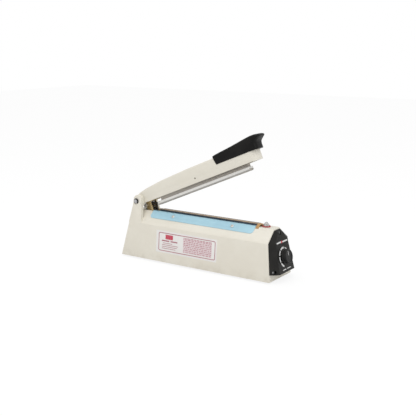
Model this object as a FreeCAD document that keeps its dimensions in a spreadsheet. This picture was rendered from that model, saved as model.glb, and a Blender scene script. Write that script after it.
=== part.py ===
import FreeCAD, Part
import os
import Sketcher

# Hand impulse sealer, 200 mm class, in millimetres.
# Frame: +X along the housing towards the control hood, -Y the label side, +Z up.
# Z = 0 is the table. The origin is under the middle of the whole part's box.
# Every sub-part is drawn in a local frame and placed once:
# the housing's pieces from the middle of its foot, the arm's pieces from the hinge axis.

doc = FreeCAD.newDocument("hand_impulse_sealer")
sheet = doc.addObject("Spreadsheet::Sheet", "size")

# Driving dimensions: alias, value in millimetres or degrees, what it is.
driving = [
    ("base_length", "320", "length of the housing at its foot"),
    ("base_width", "78", "width of the housing at its foot"),
    ("foot_height", "3", "height of the housing's lower edge above the table"),
    ("shoulder_height", "67.6", "height of the shoulder above the table"),
    ("shoulder_set", "5.25", "how far the long walls lean in up to the shoulder"),
    ("hinge_lean", "15.4", "how far the hinge end leans in up to the shoulder"),
    ("hood_lean", "7", "how far the hood end leans in up to the shoulder"),
    ("deck_height", "88", "height of the narrow deck above the table"),
    ("deck_width", "22", "width of the deck"),
    ("shell_wall", "2.2", "wall of the housing"),
    ("overcut", "1", "how far a cut passes the face that it opens"),
    ("edge_round", "3", "rounding of the housing's corners, shoulders and deck edges"),
    ("ear_inset", "20.2", "hinge-side face of the ears, from the foot's hinge end"),
    ("ear_length", "15.3", "length of the ears along the housing"),
    ("ear_rise", "28.5", "ears' tops above the deck"),
    ("ear_top_width", "43", "width over the ears at their tops"),
    ("ear_gap", "28.8", "clear width between the ears at the hinge"),
    ("ear_wall", "7.4", "thickness of the ears below the hinge, measured level"),
    ("ear_boss_drop", "5.6", "how far the ears stay thick below the hinge axis"),
    ("ear_boss_slope", "3", "height of the slope from the thick part to the thin part of the ears"),
    ("ear_round", "7.2", "rounding of the ears' tops"),
    ("ear_root", "2", "how far the ears reach down inside the shoulders"),
    ("ear_foot_inset", "0.4", "ears' foot inside the hinge end at the shoulder"),
    ("ear_foot_spread", "9.5", "how far the ears' arm-side edges run out at their foot"),
    ("hinge_inset", "6.6", "hinge axis, from the ears' hinge-side face"),
    ("hinge_drop", "11.2", "hinge axis below the ears' tops"),
    ("hinge_pin_radius", "3.5", "radius of the hinge pin"),
    ("ring_seat_width", "48", "width over the retaining rings' seats on the ears"),
    ("hinge_pin_stickout", "1.4", "length of the pin's ends outside the rings"),
    ("ring_radius", "5.2", "outer radius of the retaining rings"),
    ("ring_thickness", "1.2", "thickness of the retaining rings"),
    ("ring_seat_gap", "0.6", "seat's edge around a retaining ring"),
    ("ring_opening", "4", "opening of the retaining rings"),
    ("running_clearance", "0.05", "radial clearance of pins and shafts that turn"),
    ("fit_clearance", "0.1", "clearance of seated pieces and screws"),
    ("thread_play", "0.02", "radial clearance of screws and pins that sit tight"),
    ("end_gap", "0.3", "gap at the ends of pieces in line"),
    ("arm_open", "23.04", "angle of the open arm above level"),
    ("nose_inset", "22.8", "nose of the level arm, from the foot's hood end"),
    ("arm_width", "28", "width of the arm"),
    ("arm_wall", "2", "wall of the arm"),
    ("arm_below", "8", "arm's lower edge below the hinge axis"),
    ("arm_tail", "11.5", "radius of the arm's hinge end"),
    ("arm_back_rise", "16.2", "arm's top above the axis, hinge side"),
    ("arm_front_rise", "21.9", "arm's top above the axis, just before the grip"),
    ("arm_crest", "1.6", "how far the arm's top bulges between its ends"),
    ("arm_tongue_rise", "9", "arm's top above the axis, under the grip"),
    ("step_run", "3.3", "run of the step under the grip"),
    ("arm_tail_dip", "3", "arm's top near the hinge below its back edge"),
    ("arm_tail_slope", "7.5", "arm's top over the tail below its back edge"),
    ("grip_length", "84", "grip's seat, from its step to the arm's nose"),
    ("arm_cavity_start", "31", "start of the arm's hollow, from the axis"),
    ("arm_nose_round", "11", "rounding of the arm's nose in plan"),
    ("arm_top_round", "3.2", "rounding of the arm's top edges"),
    ("grip_width", "29", "width of the grip"),
    ("grip_crown", "33.7", "grip's highest point above the hinge axis"),
    ("grip_overhang", "16.6", "grip's lip beyond the arm's nose"),
    ("grip_round", "5", "rounding of the grip's top edges"),
    ("grip_wall", "2.6", "wall of the grip"),
    ("grip_heel", "6", "grip's end beyond the arm's nose"),
    ("grip_heel_rise", "8.4", "upright part of the grip's end"),
    ("grip_throat_reach", "7", "throat under the grip's lip, beyond the arm's nose"),
    ("grip_throat_rise", "12.5", "throat under the grip's lip, above the tongue"),
    ("grip_lip_inset", "3.3", "lip's lower corner inside its tip"),
    ("grip_lip_drop", "3.7", "lip's tip below the crown"),
    ("grip_lip_thickness", "4.1", "thickness of the lip at its tip"),
    ("grip_front_drop", "1.7", "grip's top over the nose below the crown"),
    ("grip_front_reach", "13.9", "end of the grip's top beyond the nose"),
    ("grip_crown_inset", "7.5", "half length of the crown's level top, about the arm's nose"),
    ("grip_crown_start", "56", "start of the grip's crowned part, from the step"),
    ("grip_crown_dip", "2.8", "grip's top there below the crown"),
    ("grip_back_rise", "3.1", "grip's back edge above the arm's top"),
    ("grip_back_inset", "0.2", "grip's back edge from the step"),
    ("grip_screw_back", "28", "hinge-side grip screw, from the step"),
    ("grip_screw_front", "20", "hood-side grip screw, from the nose"),
    ("grip_screw_length", "12", "length of the grip screws above the tongue's underside"),
    ("grip_screw_head", "1.2", "head height of the grip screws"),
    ("grip_web_half", "5", "half length of the webs that hold the grip screws"),
    ("bar_lead", "8.9", "press bar beyond the sealing bar, hinge side"),
    ("bar_tail", "4.4", "press bar's end short of the sealing bar's end, hood side"),
    ("bar_width", "14", "width of the press bar"),
    ("bar_top", "13.9", "press bar's upper face below the axis"),
    ("bar_bottom", "20.9", "silicone strip's lower face below the axis"),
    ("bar_lip", "1.2", "wall of the press bar's channel"),
    ("strip_depth", "3", "depth of the silicone strip in the channel"),
    ("strip_rise", "1", "strip below the channel's lips"),
    ("strip_inset", "1", "strip's ends inside the channel's ends"),
    ("rail_width", "8", "width of the rail inside the arm"),
    ("rail_top", "0", "rail's top above the hinge axis"),
    ("rail_back_inset", "8", "rail's end inside the press bar's end, hinge side"),
    ("rail_front_inset", "2", "rail's end inside the press bar's end, hood side"),
    ("lug_rise", "5.5", "top of the rail's pivot lug above the hinge axis"),
    ("lug_length", "20", "length of the rail's pivot lug"),
    ("pivot_shift", "2.55", "pivot pin, from the press bar's middle towards the hinge"),
    ("pivot_rise", "0.45", "pivot pin above the hinge axis"),
    ("pivot_radius", "1.5", "radius of the pivot pin"),
    ("pivot_inset", "0.3", "pivot pin's ends inside the arm's sides"),
    ("spacer_wall", "1.5", "wall of the pivot's spacers"),
    ("spacer_gap", "0.15", "gap beside the pivot's spacers"),
    ("trip_start", "6.3", "hinge-side edge of the trip bracket, from the axis"),
    ("trip_cheek", "19.3", "far edge of the bracket's cheeks, from the axis"),
    ("trip_web_end", "30.5", "far edge of the bracket's web, from the axis"),
    ("trip_depth", "29.27", "tips of the bracket's cheeks below the axis"),
    ("trip_gap", "15.2", "clear width between the bracket's cheeks"),
    ("trip_sheet", "1.2", "sheet of the trip bracket"),
    ("trip_pin_place", "7.6", "trip pin, from the hinge axis"),
    ("trip_pin_drop", "13.2", "trip pin below the hinge axis"),
    ("trip_pin_radius", "3.6", "radius of the trip pin"),
    ("trip_pin_length", "26.4", "length of the trip pin"),
    ("trip_screw_half", "4.4", "trip bracket's screws from the middle plane"),
    ("trip_screw_place", "15.2", "trip bracket's screws, from the hinge axis"),
    ("trip_screw_length", "7", "length of the trip bracket's screws"),
    ("trip_head_height", "1.4", "head height of the trip bracket's screws"),
    ("trip_head_inset", "0.2", "trip screws' heads smaller than the small screws'"),
    ("spring_lead", "25.2", "return spring's axis in front of the hinge axis"),
    ("spring_radius", "6", "outer radius of the return spring"),
    ("spring_wire", "1.8", "wire of the return spring"),
    ("spring_drop", "7", "return spring's lower end below the deck"),
    ("spring_gap", "0.07", "return spring's upper end below the bracket, arm open"),
    ("spring_turns", "6", "turns of the return spring"),
    ("spring_seat_margin", "1", "spring's seat around the spring"),
    ("slot_lead", "5.8", "deck slot's end in front of the hinge axis"),
    ("slot_length", "27.6", "length of the deck slot"),
    ("slot_width", "19.4", "width of the deck slot"),
    ("seal_lead", "8.8", "sealing bar's end in front of the deck slot"),
    ("seal_tail", "14", "sealing bar's end behind the indicator lamp"),
    ("seal_width", "14", "width of the sealing bar"),
    ("terminal_length", "5.5", "length of the element's end terminals"),
    ("terminal_width", "9", "width of the element's end terminals"),
    ("seal_screw_inset", "5", "sealing bar's screws from its ends"),
    ("seal_screw_reach", "2", "reach of the sealing bar's screws into it"),
    ("seal_screw_cap", "0.8", "bar left above its screw holes"),
    ("ribbon_inset", "1", "heating ribbon's ends inside the terminals' ends"),
    ("seal_rise", "3", "height of the sealing bar above the deck"),
    ("tape_thickness", "0.2", "insulating tape on the sealing bar"),
    ("element_thickness", "0.2", "heating element"),
    ("element_width", "2.6", "width of the heating element"),
    ("cloth_thickness", "0.3", "non-stick cloth"),
    ("cloth_width", "10.4", "width of the cloth on the sealing bar"),
    ("cloth_lap_back", "4", "cloth beyond the sealing bar, hinge side"),
    ("cloth_lap_front", "5", "cloth beyond the sealing bar, hood side"),
    ("flap_gap", "1.5", "cloth flap beyond the cover plates"),
    ("flap_width", "8", "width of the cloth flap"),
    ("flap_reach", "4", "cloth flap's reach down the slope"),
    ("flap_lift", "0.2", "cloth flap above the slope"),
    ("plate_lead", "12", "cover plates beyond the sealing bar, hinge side"),
    ("plate_tail", "0.5", "cover plates' end short of the sealing bar, hood side"),
    ("plate_sheet", "1", "thickness of the cover plates"),
    ("plate_reach", "15.4", "cover plates' reach down the slope"),
    ("plate_round", "6", "rounding of the cover plates' lower corners"),
    ("plate_screw_lead", "49.5", "cover screw, from the cover plates' hinge-side end"),
    ("plate_screw_tail", "43.3", "cover screw, from the cover plates' hood-side end"),
    ("plate_screw_reach", "7", "cover screws' place down the slope"),
    ("plate_screw_length", "6", "length of the cover screws below the plates"),
    ("screw_radius", "1.5", "radius of the small screws"),
    ("screw_head_radius", "2.9", "head radius of the small screws"),
    ("screw_head_height", "1.8", "head height of the small screws"),
    ("lamp_inset", "29", "indicator lamp, from the foot's hood end"),
    ("lamp_radius", "5", "radius of the lamp's body"),
    ("lamp_flange_radius", "7.2", "radius of the lamp's flange"),
    ("lamp_flange_height", "1.6", "height of the lamp's flange"),
    ("lamp_lens_height", "7", "height of the lens above the flange"),
    ("lamp_depth", "24", "depth of the lamp's body under the deck"),
    ("lens_dome", "3", "height of the lens's tapered top"),
    ("lens_rim", "0.6", "lens outside the lamp's body"),
    ("lens_taper", "2.4", "lens's top inside the lamp's body"),
    ("lamp_tail_radius", "1.5", "radius of the lamp's wire tail"),
    ("lamp_tail_length", "12", "length of the lamp's wire tail"),
    ("lamp_nut_rim", "2", "rim of the lamp's nut"),
    ("lamp_nut_height", "3", "height of the lamp's nut"),
    ("hood_low", "15.4", "height of the hood's lower edge"),
    ("hood_low_inset", "2.4", "hood's flange inside the housing's foot, at its lower edge"),
    ("hood_shoulder_inset", "1.8", "hood's flange inside the housing's shoulder"),
    ("hood_top_drop", "2.4", "hood flange's top below the deck"),
    ("hood_top_width", "17.6", "width of the hood's flange at its top"),
    ("hood_flange", "1.8", "thickness of the hood's flange edge"),
    ("hood_face_width", "51", "width of the hood's front face at its lower edge"),
    ("hood_face_middle_width", "42.4", "width of the hood's front face at the shoulder's height"),
    ("hood_depth", "13", "front face beyond the foot, at its lower edge"),
    ("hood_face_set", "12.4", "how far the front face leans back up to the shoulder"),
    ("hood_face_drop", "5", "front face's top below the deck"),
    ("hood_face_top_width", "14", "width of the front face's top"),
    ("hood_wall", "2.2", "wall of the hood"),
    ("hood_top_seat_inset", "5.4", "seat of the hood's top screw inside the foot's end"),
    ("hood_top_screw_drop", "7.5", "hood's top screw below the deck"),
    ("hood_low_seat_reach", "2", "seat of the hood's lower screws beyond the foot's end"),
    ("hood_low_screw_inset", "8.4", "hood's lower screws from the sides of the foot"),
    ("hood_low_screw_rise", "4.2", "hood's lower screws above its lower edge"),
    ("hood_screw_length", "8", "length of the hood's screws"),
    ("hood_bore", "20", "length of the bores through the hood's face and posts"),
    ("post_wall", "1.3", "wall of the hood's screw posts"),
    ("counterbore_gap", "0.3", "gap around the hood screws' heads"),
    ("window_depth", "14", "reach of the cable window's cut behind the hood"),
    ("window_margin", "7", "window's edges inside the hood's edge and the shoulder"),
    ("hood_slope_share", "0.6", "hood's inward offset measured along its slopes"),
    ("dial_height", "41", "height of the dial's centre on the front face"),
    ("dial_radius", "12.5", "radius of the dial"),
    ("dial_skirt", "3", "height of the dial's skirt"),
    ("dial_rise", "10", "height of the dial above the front face"),
    ("dial_chamfer", "1", "chamfer of the dial's rim"),
    ("dial_gap", "0.6", "gap between dial and front face"),
    ("dial_rib", "5.4", "thickness of the dial's finger rib"),
    ("shaft_radius", "3", "radius of the dial's shaft"),
    ("bush_radius", "4.5", "radius of the potentiometer's threaded bush"),
    ("bush_length", "7", "length of the potentiometer's bush"),
    ("pot_radius", "8", "radius of the potentiometer"),
    ("pot_depth", "8", "depth of the potentiometer"),
    ("pot_tag_length", "6", "length of the potentiometer's tags"),
    ("pot_tag_width", "12", "width over the potentiometer's tags"),
    ("pot_tag_sheet", "1.2", "sheet of the potentiometer's tags"),
    ("nut_rim", "1.6", "rim of the potentiometer's nut around its bush"),
    ("nut_height", "2", "height of the potentiometer's nut"),
    ("dial_recess", "4", "top of the dial above the shaft's end"),
    ("dial_draft", "0.4", "how far the dial widens down to its skirt"),
    ("dial_nut_room", "2.6", "room inside the dial around the bush"),
    ("dial_flank_spread", "0.8", "how far the finger rib widens down to the skirt"),
    ("dial_flank_rise", "1.6", "rib's foot above the skirt"),
    ("dial_skirt_set", "2.2", "skirt's edge outside the dial's upper part"),
    ("plate_margin", "0.8", "margin of the bottom plate inside the walls"),
    ("bottom_sheet", "1.5", "thickness of the bottom plate"),
    ("boss_radius", "4", "radius of the corner bosses"),
    ("boss_inset", "11", "corner bosses' inset from the housing's ends"),
    ("boss_side_inset", "6.5", "corner bosses' inset from the housing's sides"),
    ("boss_height", "24", "height of the corner bosses' tops"),
    ("rubber_radius", "6.5", "radius of the rubber feet"),
    ("rubber_inset", "24", "rubber feet's inset from the housing's ends"),
    ("rubber_side_inset", "15", "rubber feet's inset from the housing's sides"),
    ("rubber_stem_radius", "2", "radius of the rubber feet's stems"),
    ("rubber_button_radius", "3", "radius of the rubber feet's buttons"),
    ("rubber_button_height", "1.6", "height of the rubber feet's buttons"),
    ("bottom_screw_length", "10", "length of the bottom screws"),
    ("boss_cap", "3", "solid top of the corner bosses"),
    ("plate_lift", "0.2", "bottom plate above the housing's lower edge"),
    ("core_place", "10", "transformer's middle, from the middle of the housing"),
    ("core_length", "57", "length of the transformer's core"),
    ("core_height", "48", "height of the transformer's core"),
    ("core_stack", "22", "stack of the transformer's core"),
    ("core_leg", "19", "middle leg of the transformer's core"),
    ("winding_thickness", "9", "thickness of the winding"),
    ("strap_sheet", "1.2", "sheet of the transformer's strap"),
    ("strap_tab", "14", "length of the strap's tabs"),
    ("strap_inset", "2", "strap's edges inside the core's stack"),
    ("board_inset", "38", "timer board's end, from the foot's hood end"),
    ("board_length", "62", "length of the timer board"),
    ("board_width", "44", "width of the timer board"),
    ("board_sheet", "1.6", "thickness of the timer board"),
    ("board_lift", "9", "timer board above the bottom plate"),
    ("board_hole_inset", "5", "board's screws from its edges"),
    ("relay_length", "19", "length of the relay"),
    ("relay_width", "15", "width and height of the relay"),
    ("relay_place", "11", "relay from the board's edge"),
    ("capacitor_place", "39", "capacitors from the board's edge"),
    ("capacitor_radius", "6", "radius of the large capacitor"),
    ("capacitor_height", "16", "height of the large capacitor"),
    ("small_capacitor_radius", "4", "radius of the small capacitor"),
    ("small_capacitor_height", "11", "height of the small capacitor"),
    ("trimmer_place", "47", "trimmer from the board's edge"),
    ("trimmer_width", "8", "side of the trimmer"),
    ("trimmer_height", "6", "height of the trimmer"),
    ("row_place", "14", "chip and plug row from the board's edge"),
    ("chip_length", "12", "length of the chip"),
    ("chip_width", "6.4", "width of the chip"),
    ("chip_height", "3.4", "height of the chip"),
    ("plug_row_length", "16", "length of the plug row"),
    ("plug_row_width", "7", "width of the plug row"),
    ("standoff_radius", "3", "radius of the board's standoffs"),
    ("bracket_sheet", "1.5", "sheet of the switch bracket"),
    ("bracket_side_gap", "0.4", "bracket inside the trip bracket's cheeks"),
    ("bracket_flange_inset", "10", "bracket's flange under the sealing bar"),
    ("bracket_leg_reach", "3", "bracket's leg below the microswitch"),
    ("switch_length", "20", "length of the microswitch"),
    ("switch_height", "10", "height of the microswitch"),
    ("switch_depth", "6.4", "depth of the microswitch"),
    ("switch_screw_inset", "5", "microswitch's screws from its ends"),
    ("switch_screw_rise", "2.6", "microswitch's screws above its lower edge"),
    ("switch_screw_radius", "1", "radius of the microswitch's screws"),
    ("switch_head_radius", "1.9", "head radius of the microswitch's screws"),
    ("switch_head_height", "1.2", "head height of the microswitch's screws"),
    ("switch_ear_length", "3", "length of the lever's ears on the microswitch"),
    ("switch_ear_wall", "0.8", "wall of the lever's ears"),
    ("switch_ear_height", "3.6", "height of the lever's ears"),
    ("switch_ear_root", "0.5", "ears' foot inside the microswitch"),
    ("lever_inset", "1.6", "lever's pivot inside the microswitch's end and above its top"),
    ("lever_pin_radius", "0.6", "radius of the lever's pin"),
    ("lever_knuckle_radius", "1", "radius of the lever's knuckle"),
    ("lever_heel", "0.8", "lever's leaf behind its pivot"),
    ("lever_post_depth", "1.4", "depth of the lever's post"),
    ("lever_length", "17", "length of the lever in front of its pivot"),
    ("button_reach", "8.4", "button from the lever's pivot"),
    ("button_root", "1.3", "button's foot inside the microswitch"),
    ("button_bore", "3", "depth of the button's bore"),
    ("button_gap", "0.2", "button below the lever, arm closed"),
    ("switch_lead", "9.2", "microswitch's end in front of the hinge axis"),
    ("switch_drop", "16.5", "microswitch's top below the deck"),
    ("lever_drop", "12.1", "lever's upper face below the deck, arm closed"),
    ("lever_swing", "5", "swing of the lever"),
    ("lever_sheet", "0.8", "sheet of the lever"),
    ("lever_width", "3.4", "width of the lever"),
    ("button_travel", "0.7", "travel of the button"),
    ("button_radius", "1.4", "radius of the button"),
    ("inlet_radius", "3.5", "radius of the cable inlet's hole"),
    ("grommet_wall", "1.9", "wall of the grommet's barrel"),
    ("inlet_height", "44", "height of the cable inlet"),
    ("inlet_inset", "40", "cable inlet, from the foot's hinge end"),
    ("grommet_radius", "7", "radius of the grommet's flange"),
    ("grommet_flange", "1.6", "thickness of the grommet's flange"),
    ("label_start", "75.3", "hinge-side edge of the label, from the middle"),
    ("label_end", "53.5", "hood-side edge of the label, from the middle"),
    ("label_low", "20.5", "height of the label's lower edge"),
    ("label_high", "60.6", "height of the label's upper edge"),
    ("label_film", "0.25", "thickness of the label's film"),
]

# Derived sizes: alias, formula over the cells above, what it is.
derived = [
    ("half_length", "base_length / 2", "half the housing's length at its foot"),
    ("shoulder_width", "base_width - 2 * shoulder_set", "width at the shoulder"),
    ("ear_back", "half_length - ear_inset", "hinge-side face of the ears, from the middle"),
    ("ear_front", "ear_back - ear_length", "arm-side face of the ears, from the middle"),
    ("ear_top", "deck_height + ear_rise", "height of the ears' tops"),
    (
        "ear_rate",
        "(shoulder_width - ear_top_width) / 2 / (ear_top - shoulder_height)",
        "lean of the ears' outer faces",
    ),
    ("hinge_offset", "ear_back - hinge_inset", "hinge axis, from the middle towards the hinge end"),
    ("hinge_height", "ear_top - hinge_drop", "height of the hinge axis"),
    ("lamp_place", "half_length - lamp_inset", "indicator lamp, from the middle"),
    ("slot_start", "hinge_offset - slot_lead", "hinge-side end of the deck slot, from the middle"),
    ("slot_end", "slot_start - slot_length", "far end of the deck slot, from the middle"),
    ("seal_start", "slot_end - seal_lead", "hinge-side end of the sealing bar, from the middle"),
    ("seal_end", "lamp_place - seal_tail", "hood-side end of the sealing bar, from the middle"),
    ("plate_start", "seal_start + plate_lead", "hinge-side end of the cover plates, from the middle"),
    ("plate_end", "seal_end - plate_tail", "hood-side end of the cover plates, from the middle"),
    (
        "plate_screw_back",
        "plate_start - plate_screw_lead",
        "cover screw on the hinge side, from the middle",
    ),
    ("plate_screw_front", "plate_end - plate_screw_tail", "cover screw on the hood side, from the middle"),
    ("arm_length", "half_length + hinge_offset - nose_inset", "arm from the hinge axis to its nose"),
    ("arm_step", "arm_length - grip_length", "start of the step under the grip, from the axis"),
    ("step_foot", "arm_step + step_run", "foot of the step under the grip, from the axis"),
    ("grip_lip", "arm_length + grip_overhang", "tip of the grip's lip, from the hinge axis"),
    ("bar_start", "hinge_offset - seal_start - bar_lead", "hinge-side end of the press bar, from the axis"),
    ("bar_end", "hinge_offset + seal_end - bar_tail", "far end of the press bar, from the axis"),
    ("rail_start", "bar_start + rail_back_inset", "hinge-side end of the rail, from the axis"),
    ("rail_end", "bar_end - rail_front_inset", "far end of the rail, from the axis"),
    (
        "pivot_place",
        "(bar_start + bar_end) / 2 - pivot_shift",
        "pivot pin through the arm, from the hinge axis",
    ),
    ("spring_offset", "hinge_offset - spring_lead", "return spring's axis, from the middle"),
    ("spring_foot", "deck_height - spring_drop", "height of the return spring's lower end"),
    (
        "web_height",
        "hinge_height - (arm_below + trip_sheet) / cos(arm_open)",
        "web's lower face, run back to the axis",
    ),
    (
        "spring_head",
        "web_height + (spring_lead - spring_radius) * tan(arm_open) - spring_gap",
        "spring's upper end",
    ),
    ("hood_low_width", "base_width - 2 * hood_low_inset", "width of the hood's flange at its lower edge"),
    ("hood_top", "deck_height - hood_top_drop", "height of the hood flange's top"),
    ("hood_face_low", "half_length + hood_depth", "front face at its lower edge, from the middle"),
    ("hood_face_shoulder", "hood_face_low - hood_face_set", "front face at the shoulder, from the middle"),
    ("hood_face_top", "deck_height - hood_face_drop", "height of the front face's top"),
    ("hood_top_seat", "half_length - hood_top_seat_inset", "seat of the hood's top screw, from the middle"),
    ("hood_top_screw", "deck_height - hood_top_screw_drop", "height of the hood's top screw"),
    (
        "hood_low_seat",
        "half_length + hood_low_seat_reach",
        "seat of the hood's lower screws, from the middle",
    ),
    (
        "hood_low_screw_half",
        "base_width / 2 - hood_low_screw_inset",
        "hood's lower screws from the middle plane",
    ),
    (
        "board_start",
        "half_length - board_inset - board_length",
        "hinge-side edge of the timer board, from the middle",
    ),
    ("switch_start", "hinge_offset - switch_lead", "hinge-side end of the microswitch, from the middle"),
    ("switch_top", "deck_height - switch_drop", "height of the microswitch's top"),
    ("lever_rise", "deck_height - lever_drop", "height of the lever's upper face, arm closed"),
    ("inlet_place", "half_length - inlet_inset", "cable inlet, from the middle towards the hinge end"),
    (
        "face_rate",
        "(hood_face_low - hood_face_shoulder) / (shoulder_height - hood_low)",
        "lean of the front face",
    ),
    ("face_lean", "atan(face_rate)", "angle of the front face from upright"),
    (
        "dial_place",
        "hood_face_low - (dial_height - hood_low) * face_rate",
        "dial's centre, from the middle",
    ),
    ("dial_grip_radius", "dial_radius - dial_skirt_set", "radius of the dial above its skirt"),
    (
        "reach",
        "dial_place + dial_rise * cos(face_lean) + (dial_grip_radius - dial_chamfer) * sin(face_lean)",
        "farthest point",
    ),
    (
        "frame_centre",
        "(reach - base_length / 2) / 2",
        "middle of the whole part, from the housing's middle",
    ),
    ("slope_rise", "deck_height - shoulder_height", "height of the slopes"),
    ("slope_run", "(shoulder_width - deck_width) / 2", "run of the slopes"),
    ("slope_angle", "atan(slope_rise / slope_run)", "angle of the slopes from level"),
    ("end_rate", "hood_lean / (shoulder_height - foot_height)", "lean of the hood end"),
    ("end_lean", "atan(end_rate)", "angle of the hood end from upright"),
    ("hinge_rate", "hinge_lean / (shoulder_height - foot_height)", "lean of the hinge end"),
    (
        "end_place",
        "base_length / 2 - end_rate * (hood_low - foot_height)",
        "hood end at the hood's lower edge",
    ),
    (
        "wall_rate",
        "(base_width - shoulder_width) / 2 / (shoulder_height - foot_height)",
        "lean of the long walls",
    ),
    ("wall_lean", "atan(wall_rate)", "angle of the long walls from upright"),
    ("inlet_face", "base_width / 2 - wall_rate * (inlet_height - foot_height)", "rear wall at the inlet"),
    (
        "cloth_top",
        "deck_height + seal_rise + tape_thickness + element_thickness + cloth_thickness",
        "seal's top",
    ),
    ("plate_floor", "foot_height + plate_lift", "lower face of the bottom plate"),
    ("floor", "plate_floor + bottom_sheet", "upper face of the bottom plate"),
    ("deck_inside", "deck_height - shell_wall", "underside of the deck"),
    (
        "switch_front",
        "trip_gap / 2 + trip_sheet / 2 + switch_depth / 2",
        "label-side face of the microswitch",
    ),
    ("lever_pivot", "switch_start - switch_length + lever_inset", "lever's pivot, from the middle"),
    ("lever_pivot_height", "switch_top + lever_inset", "height of the lever's pivot"),
]

for row, (alias, value, meaning) in enumerate(driving, start=1):
    sheet.set(f"A{row}", meaning)
    sheet.set(f"B{row}", value)
    sheet.setAlias(f"B{row}", alias)
doc.recompute()
for row, (alias, formula, meaning) in enumerate(derived, start=len(driving) + 1):
    sheet.set(f"A{row}", meaning)
    sheet.set(f"B{row}", "=" + formula)
    sheet.setAlias(f"B{row}", alias)
doc.recompute()


# Helpers that turn formulas over the sheet into bound geometry.


def number(formula):
    """The present value of a formula over the sheet."""
    value = sheet.evalExpression(formula)
    return float(getattr(value, "Value", value))


def bind(thing, **formulas):
    """Bind properties of an object to formulas; a double underscore stands for a dot."""
    for name, formula in formulas.items():
        thing.setExpression(name.replace("__", "."), str(formula))
    return thing


def move(thing, x="0", y="0", z="0"):
    """Bind an object's place."""
    return bind(thing, Placement__Base__x=x, Placement__Base__y=y, Placement__Base__z=z)


def turn(thing, axis, angle):
    """Turn an object about an axis by a bound angle."""
    rotation = FreeCAD.Rotation(FreeCAD.Vector(*axis), 1)
    thing.Placement = FreeCAD.Placement(thing.Placement.Base, rotation)
    return bind(thing, Placement__Rotation__Angle=angle)


def box(name, x, y, z, length, width, height):
    """A block with its low corner at a place."""
    block = doc.addObject("Part::Box", name)
    bind(block, Length=length, Width=width, Height=height)
    return move(block, x, y, z)


def slab(name, x, z, length, width, height):
    """A block centred across the part, with its low edge at x and z."""
    return box(name, x, f"-({width}) / 2", z, length, width, height)


def rod(name, radius, height, x="0", y="0", z="0", axis="z"):
    """A cylinder that starts at a place and runs along an axis."""
    cylinder = doc.addObject("Part::Cylinder", name)
    bind(cylinder, Radius=radius, Height=height)
    if axis == "x":
        turn(cylinder, (0, 1, 0), "90")
    if axis == "y":
        turn(cylinder, (-1, 0, 0), "90")
    return move(cylinder, x, y, z)


def cross_rod(name, radius, length, x, z):
    """A cylinder across the part, centred on its middle plane."""
    return rod(name, radius, length, x, f"-({length}) / 2", z, "y")


def fuse(name, pieces):
    joined = doc.addObject("Part::MultiFuse", name)
    joined.Shapes = pieces
    joined.Refine = True
    return joined


def cut(name, base, tools):
    tool = tools[0] if len(tools) == 1 else fuse(name + "_tools", tools)
    result = doc.addObject("Part::Cut", name)
    result.Base = base
    result.Tool = tool
    result.Refine = True
    return result


def common(name, pieces):
    shared = doc.addObject("Part::MultiCommon", name)
    shared.Shapes = pieces
    return shared


def new_body(name):
    return doc.addObject("PartDesign::Body", name)


def sketch(body, name, role, offset="0"):
    """A sketch on one of the body's own origin planes, moved along its normal."""
    drawing = body.newObject("Sketcher::SketchObject", name)
    plane = next(item for item in body.Origin.OriginFeatures if item.Role == role)
    drawing.AttachmentSupport = [(plane, "")]
    drawing.MapMode = "FlatFace"
    drawing.setExpression("AttachmentOffset.Base.z", offset)
    return drawing


def polygon(drawing, corners):
    """A closed outline whose corners are pairs of formulas."""
    first = drawing.GeometryCount
    count = len(corners)
    spots = [(number(across), number(up)) for across, up in corners]
    for index in range(count):
        start = FreeCAD.Vector(*spots[index], 0)
        end = FreeCAD.Vector(*spots[(index + 1) % count], 0)
        drawing.addGeometry(Part.LineSegment(start, end))
    for index in range(count):
        following = first + (index + 1) % count
        drawing.addConstraint(Sketcher.Constraint("Coincident", first + index, 2, following, 1))
    for index, formulas in enumerate(corners):
        for kind, value, formula in zip(("DistanceX", "DistanceY"), spots[index], formulas):
            place = drawing.addConstraint(Sketcher.Constraint(kind, -1, 1, first + index, 1, value))
            drawing.setExpression(f"Constraints[{place}]", str(formula))


def pad(body, drawing, length, symmetric=False, backwards=False, kind="PartDesign::Pad"):
    """Pad or pocket a sketch by a bound length."""
    feature = body.newObject(kind, drawing.Name + "_" + kind.split("::")[1].lower())
    feature.Profile = drawing
    feature.SideType = "Symmetric" if symmetric else "One side"
    feature.Reversed = backwards
    feature.setExpression("Length", length)
    body.Tip = feature
    doc.recompute()
    return feature


def pocket(body, drawing, length, symmetric=False, backwards=False):
    """Cut a sketch out of the body; the body must lose volume."""
    before = body.Tip.Shape.Volume
    feature = pad(body, drawing, length, symmetric, backwards, "PartDesign::Pocket")
    if feature.Shape.Volume >= before:
        raise RuntimeError(drawing.Name + " cuts nothing")
    return feature


def loft(body, drawings, kind="PartDesign::AdditiveLoft"):
    """A ruled loft through sketches."""
    feature = body.newObject(kind, drawings[0].Name + "_loft")
    feature.Profile = drawings[0]
    feature.Sections = drawings[1:]
    feature.Ruled = True
    body.Tip = feature
    doc.recompute()
    return feature


def revolve(body, drawing):
    """Turn a sketch about its own upright axis."""
    feature = body.newObject("PartDesign::Revolution", drawing.Name + "_revolution")
    feature.Profile = drawing
    feature.ReferenceAxis = (drawing, ["V_Axis"])
    feature.Angle = 360
    body.Tip = feature
    doc.recompute()
    return feature


def round_edges(body, radius, wanted, kind="PartDesign::Fillet"):
    """Fillet the edges of the body's tip for which a test on the edge holds."""
    base = body.Tip
    names = [f"Edge{place}" for place, edge in enumerate(base.Shape.Edges, start=1) if wanted(edge)]
    feature = body.newObject(kind, f"{body.Name}_round_{len(body.Group)}")
    feature.Base = (base, names)
    feature.setExpression("Radius", radius)
    body.Tip = feature
    doc.recompute()
    return feature


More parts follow.
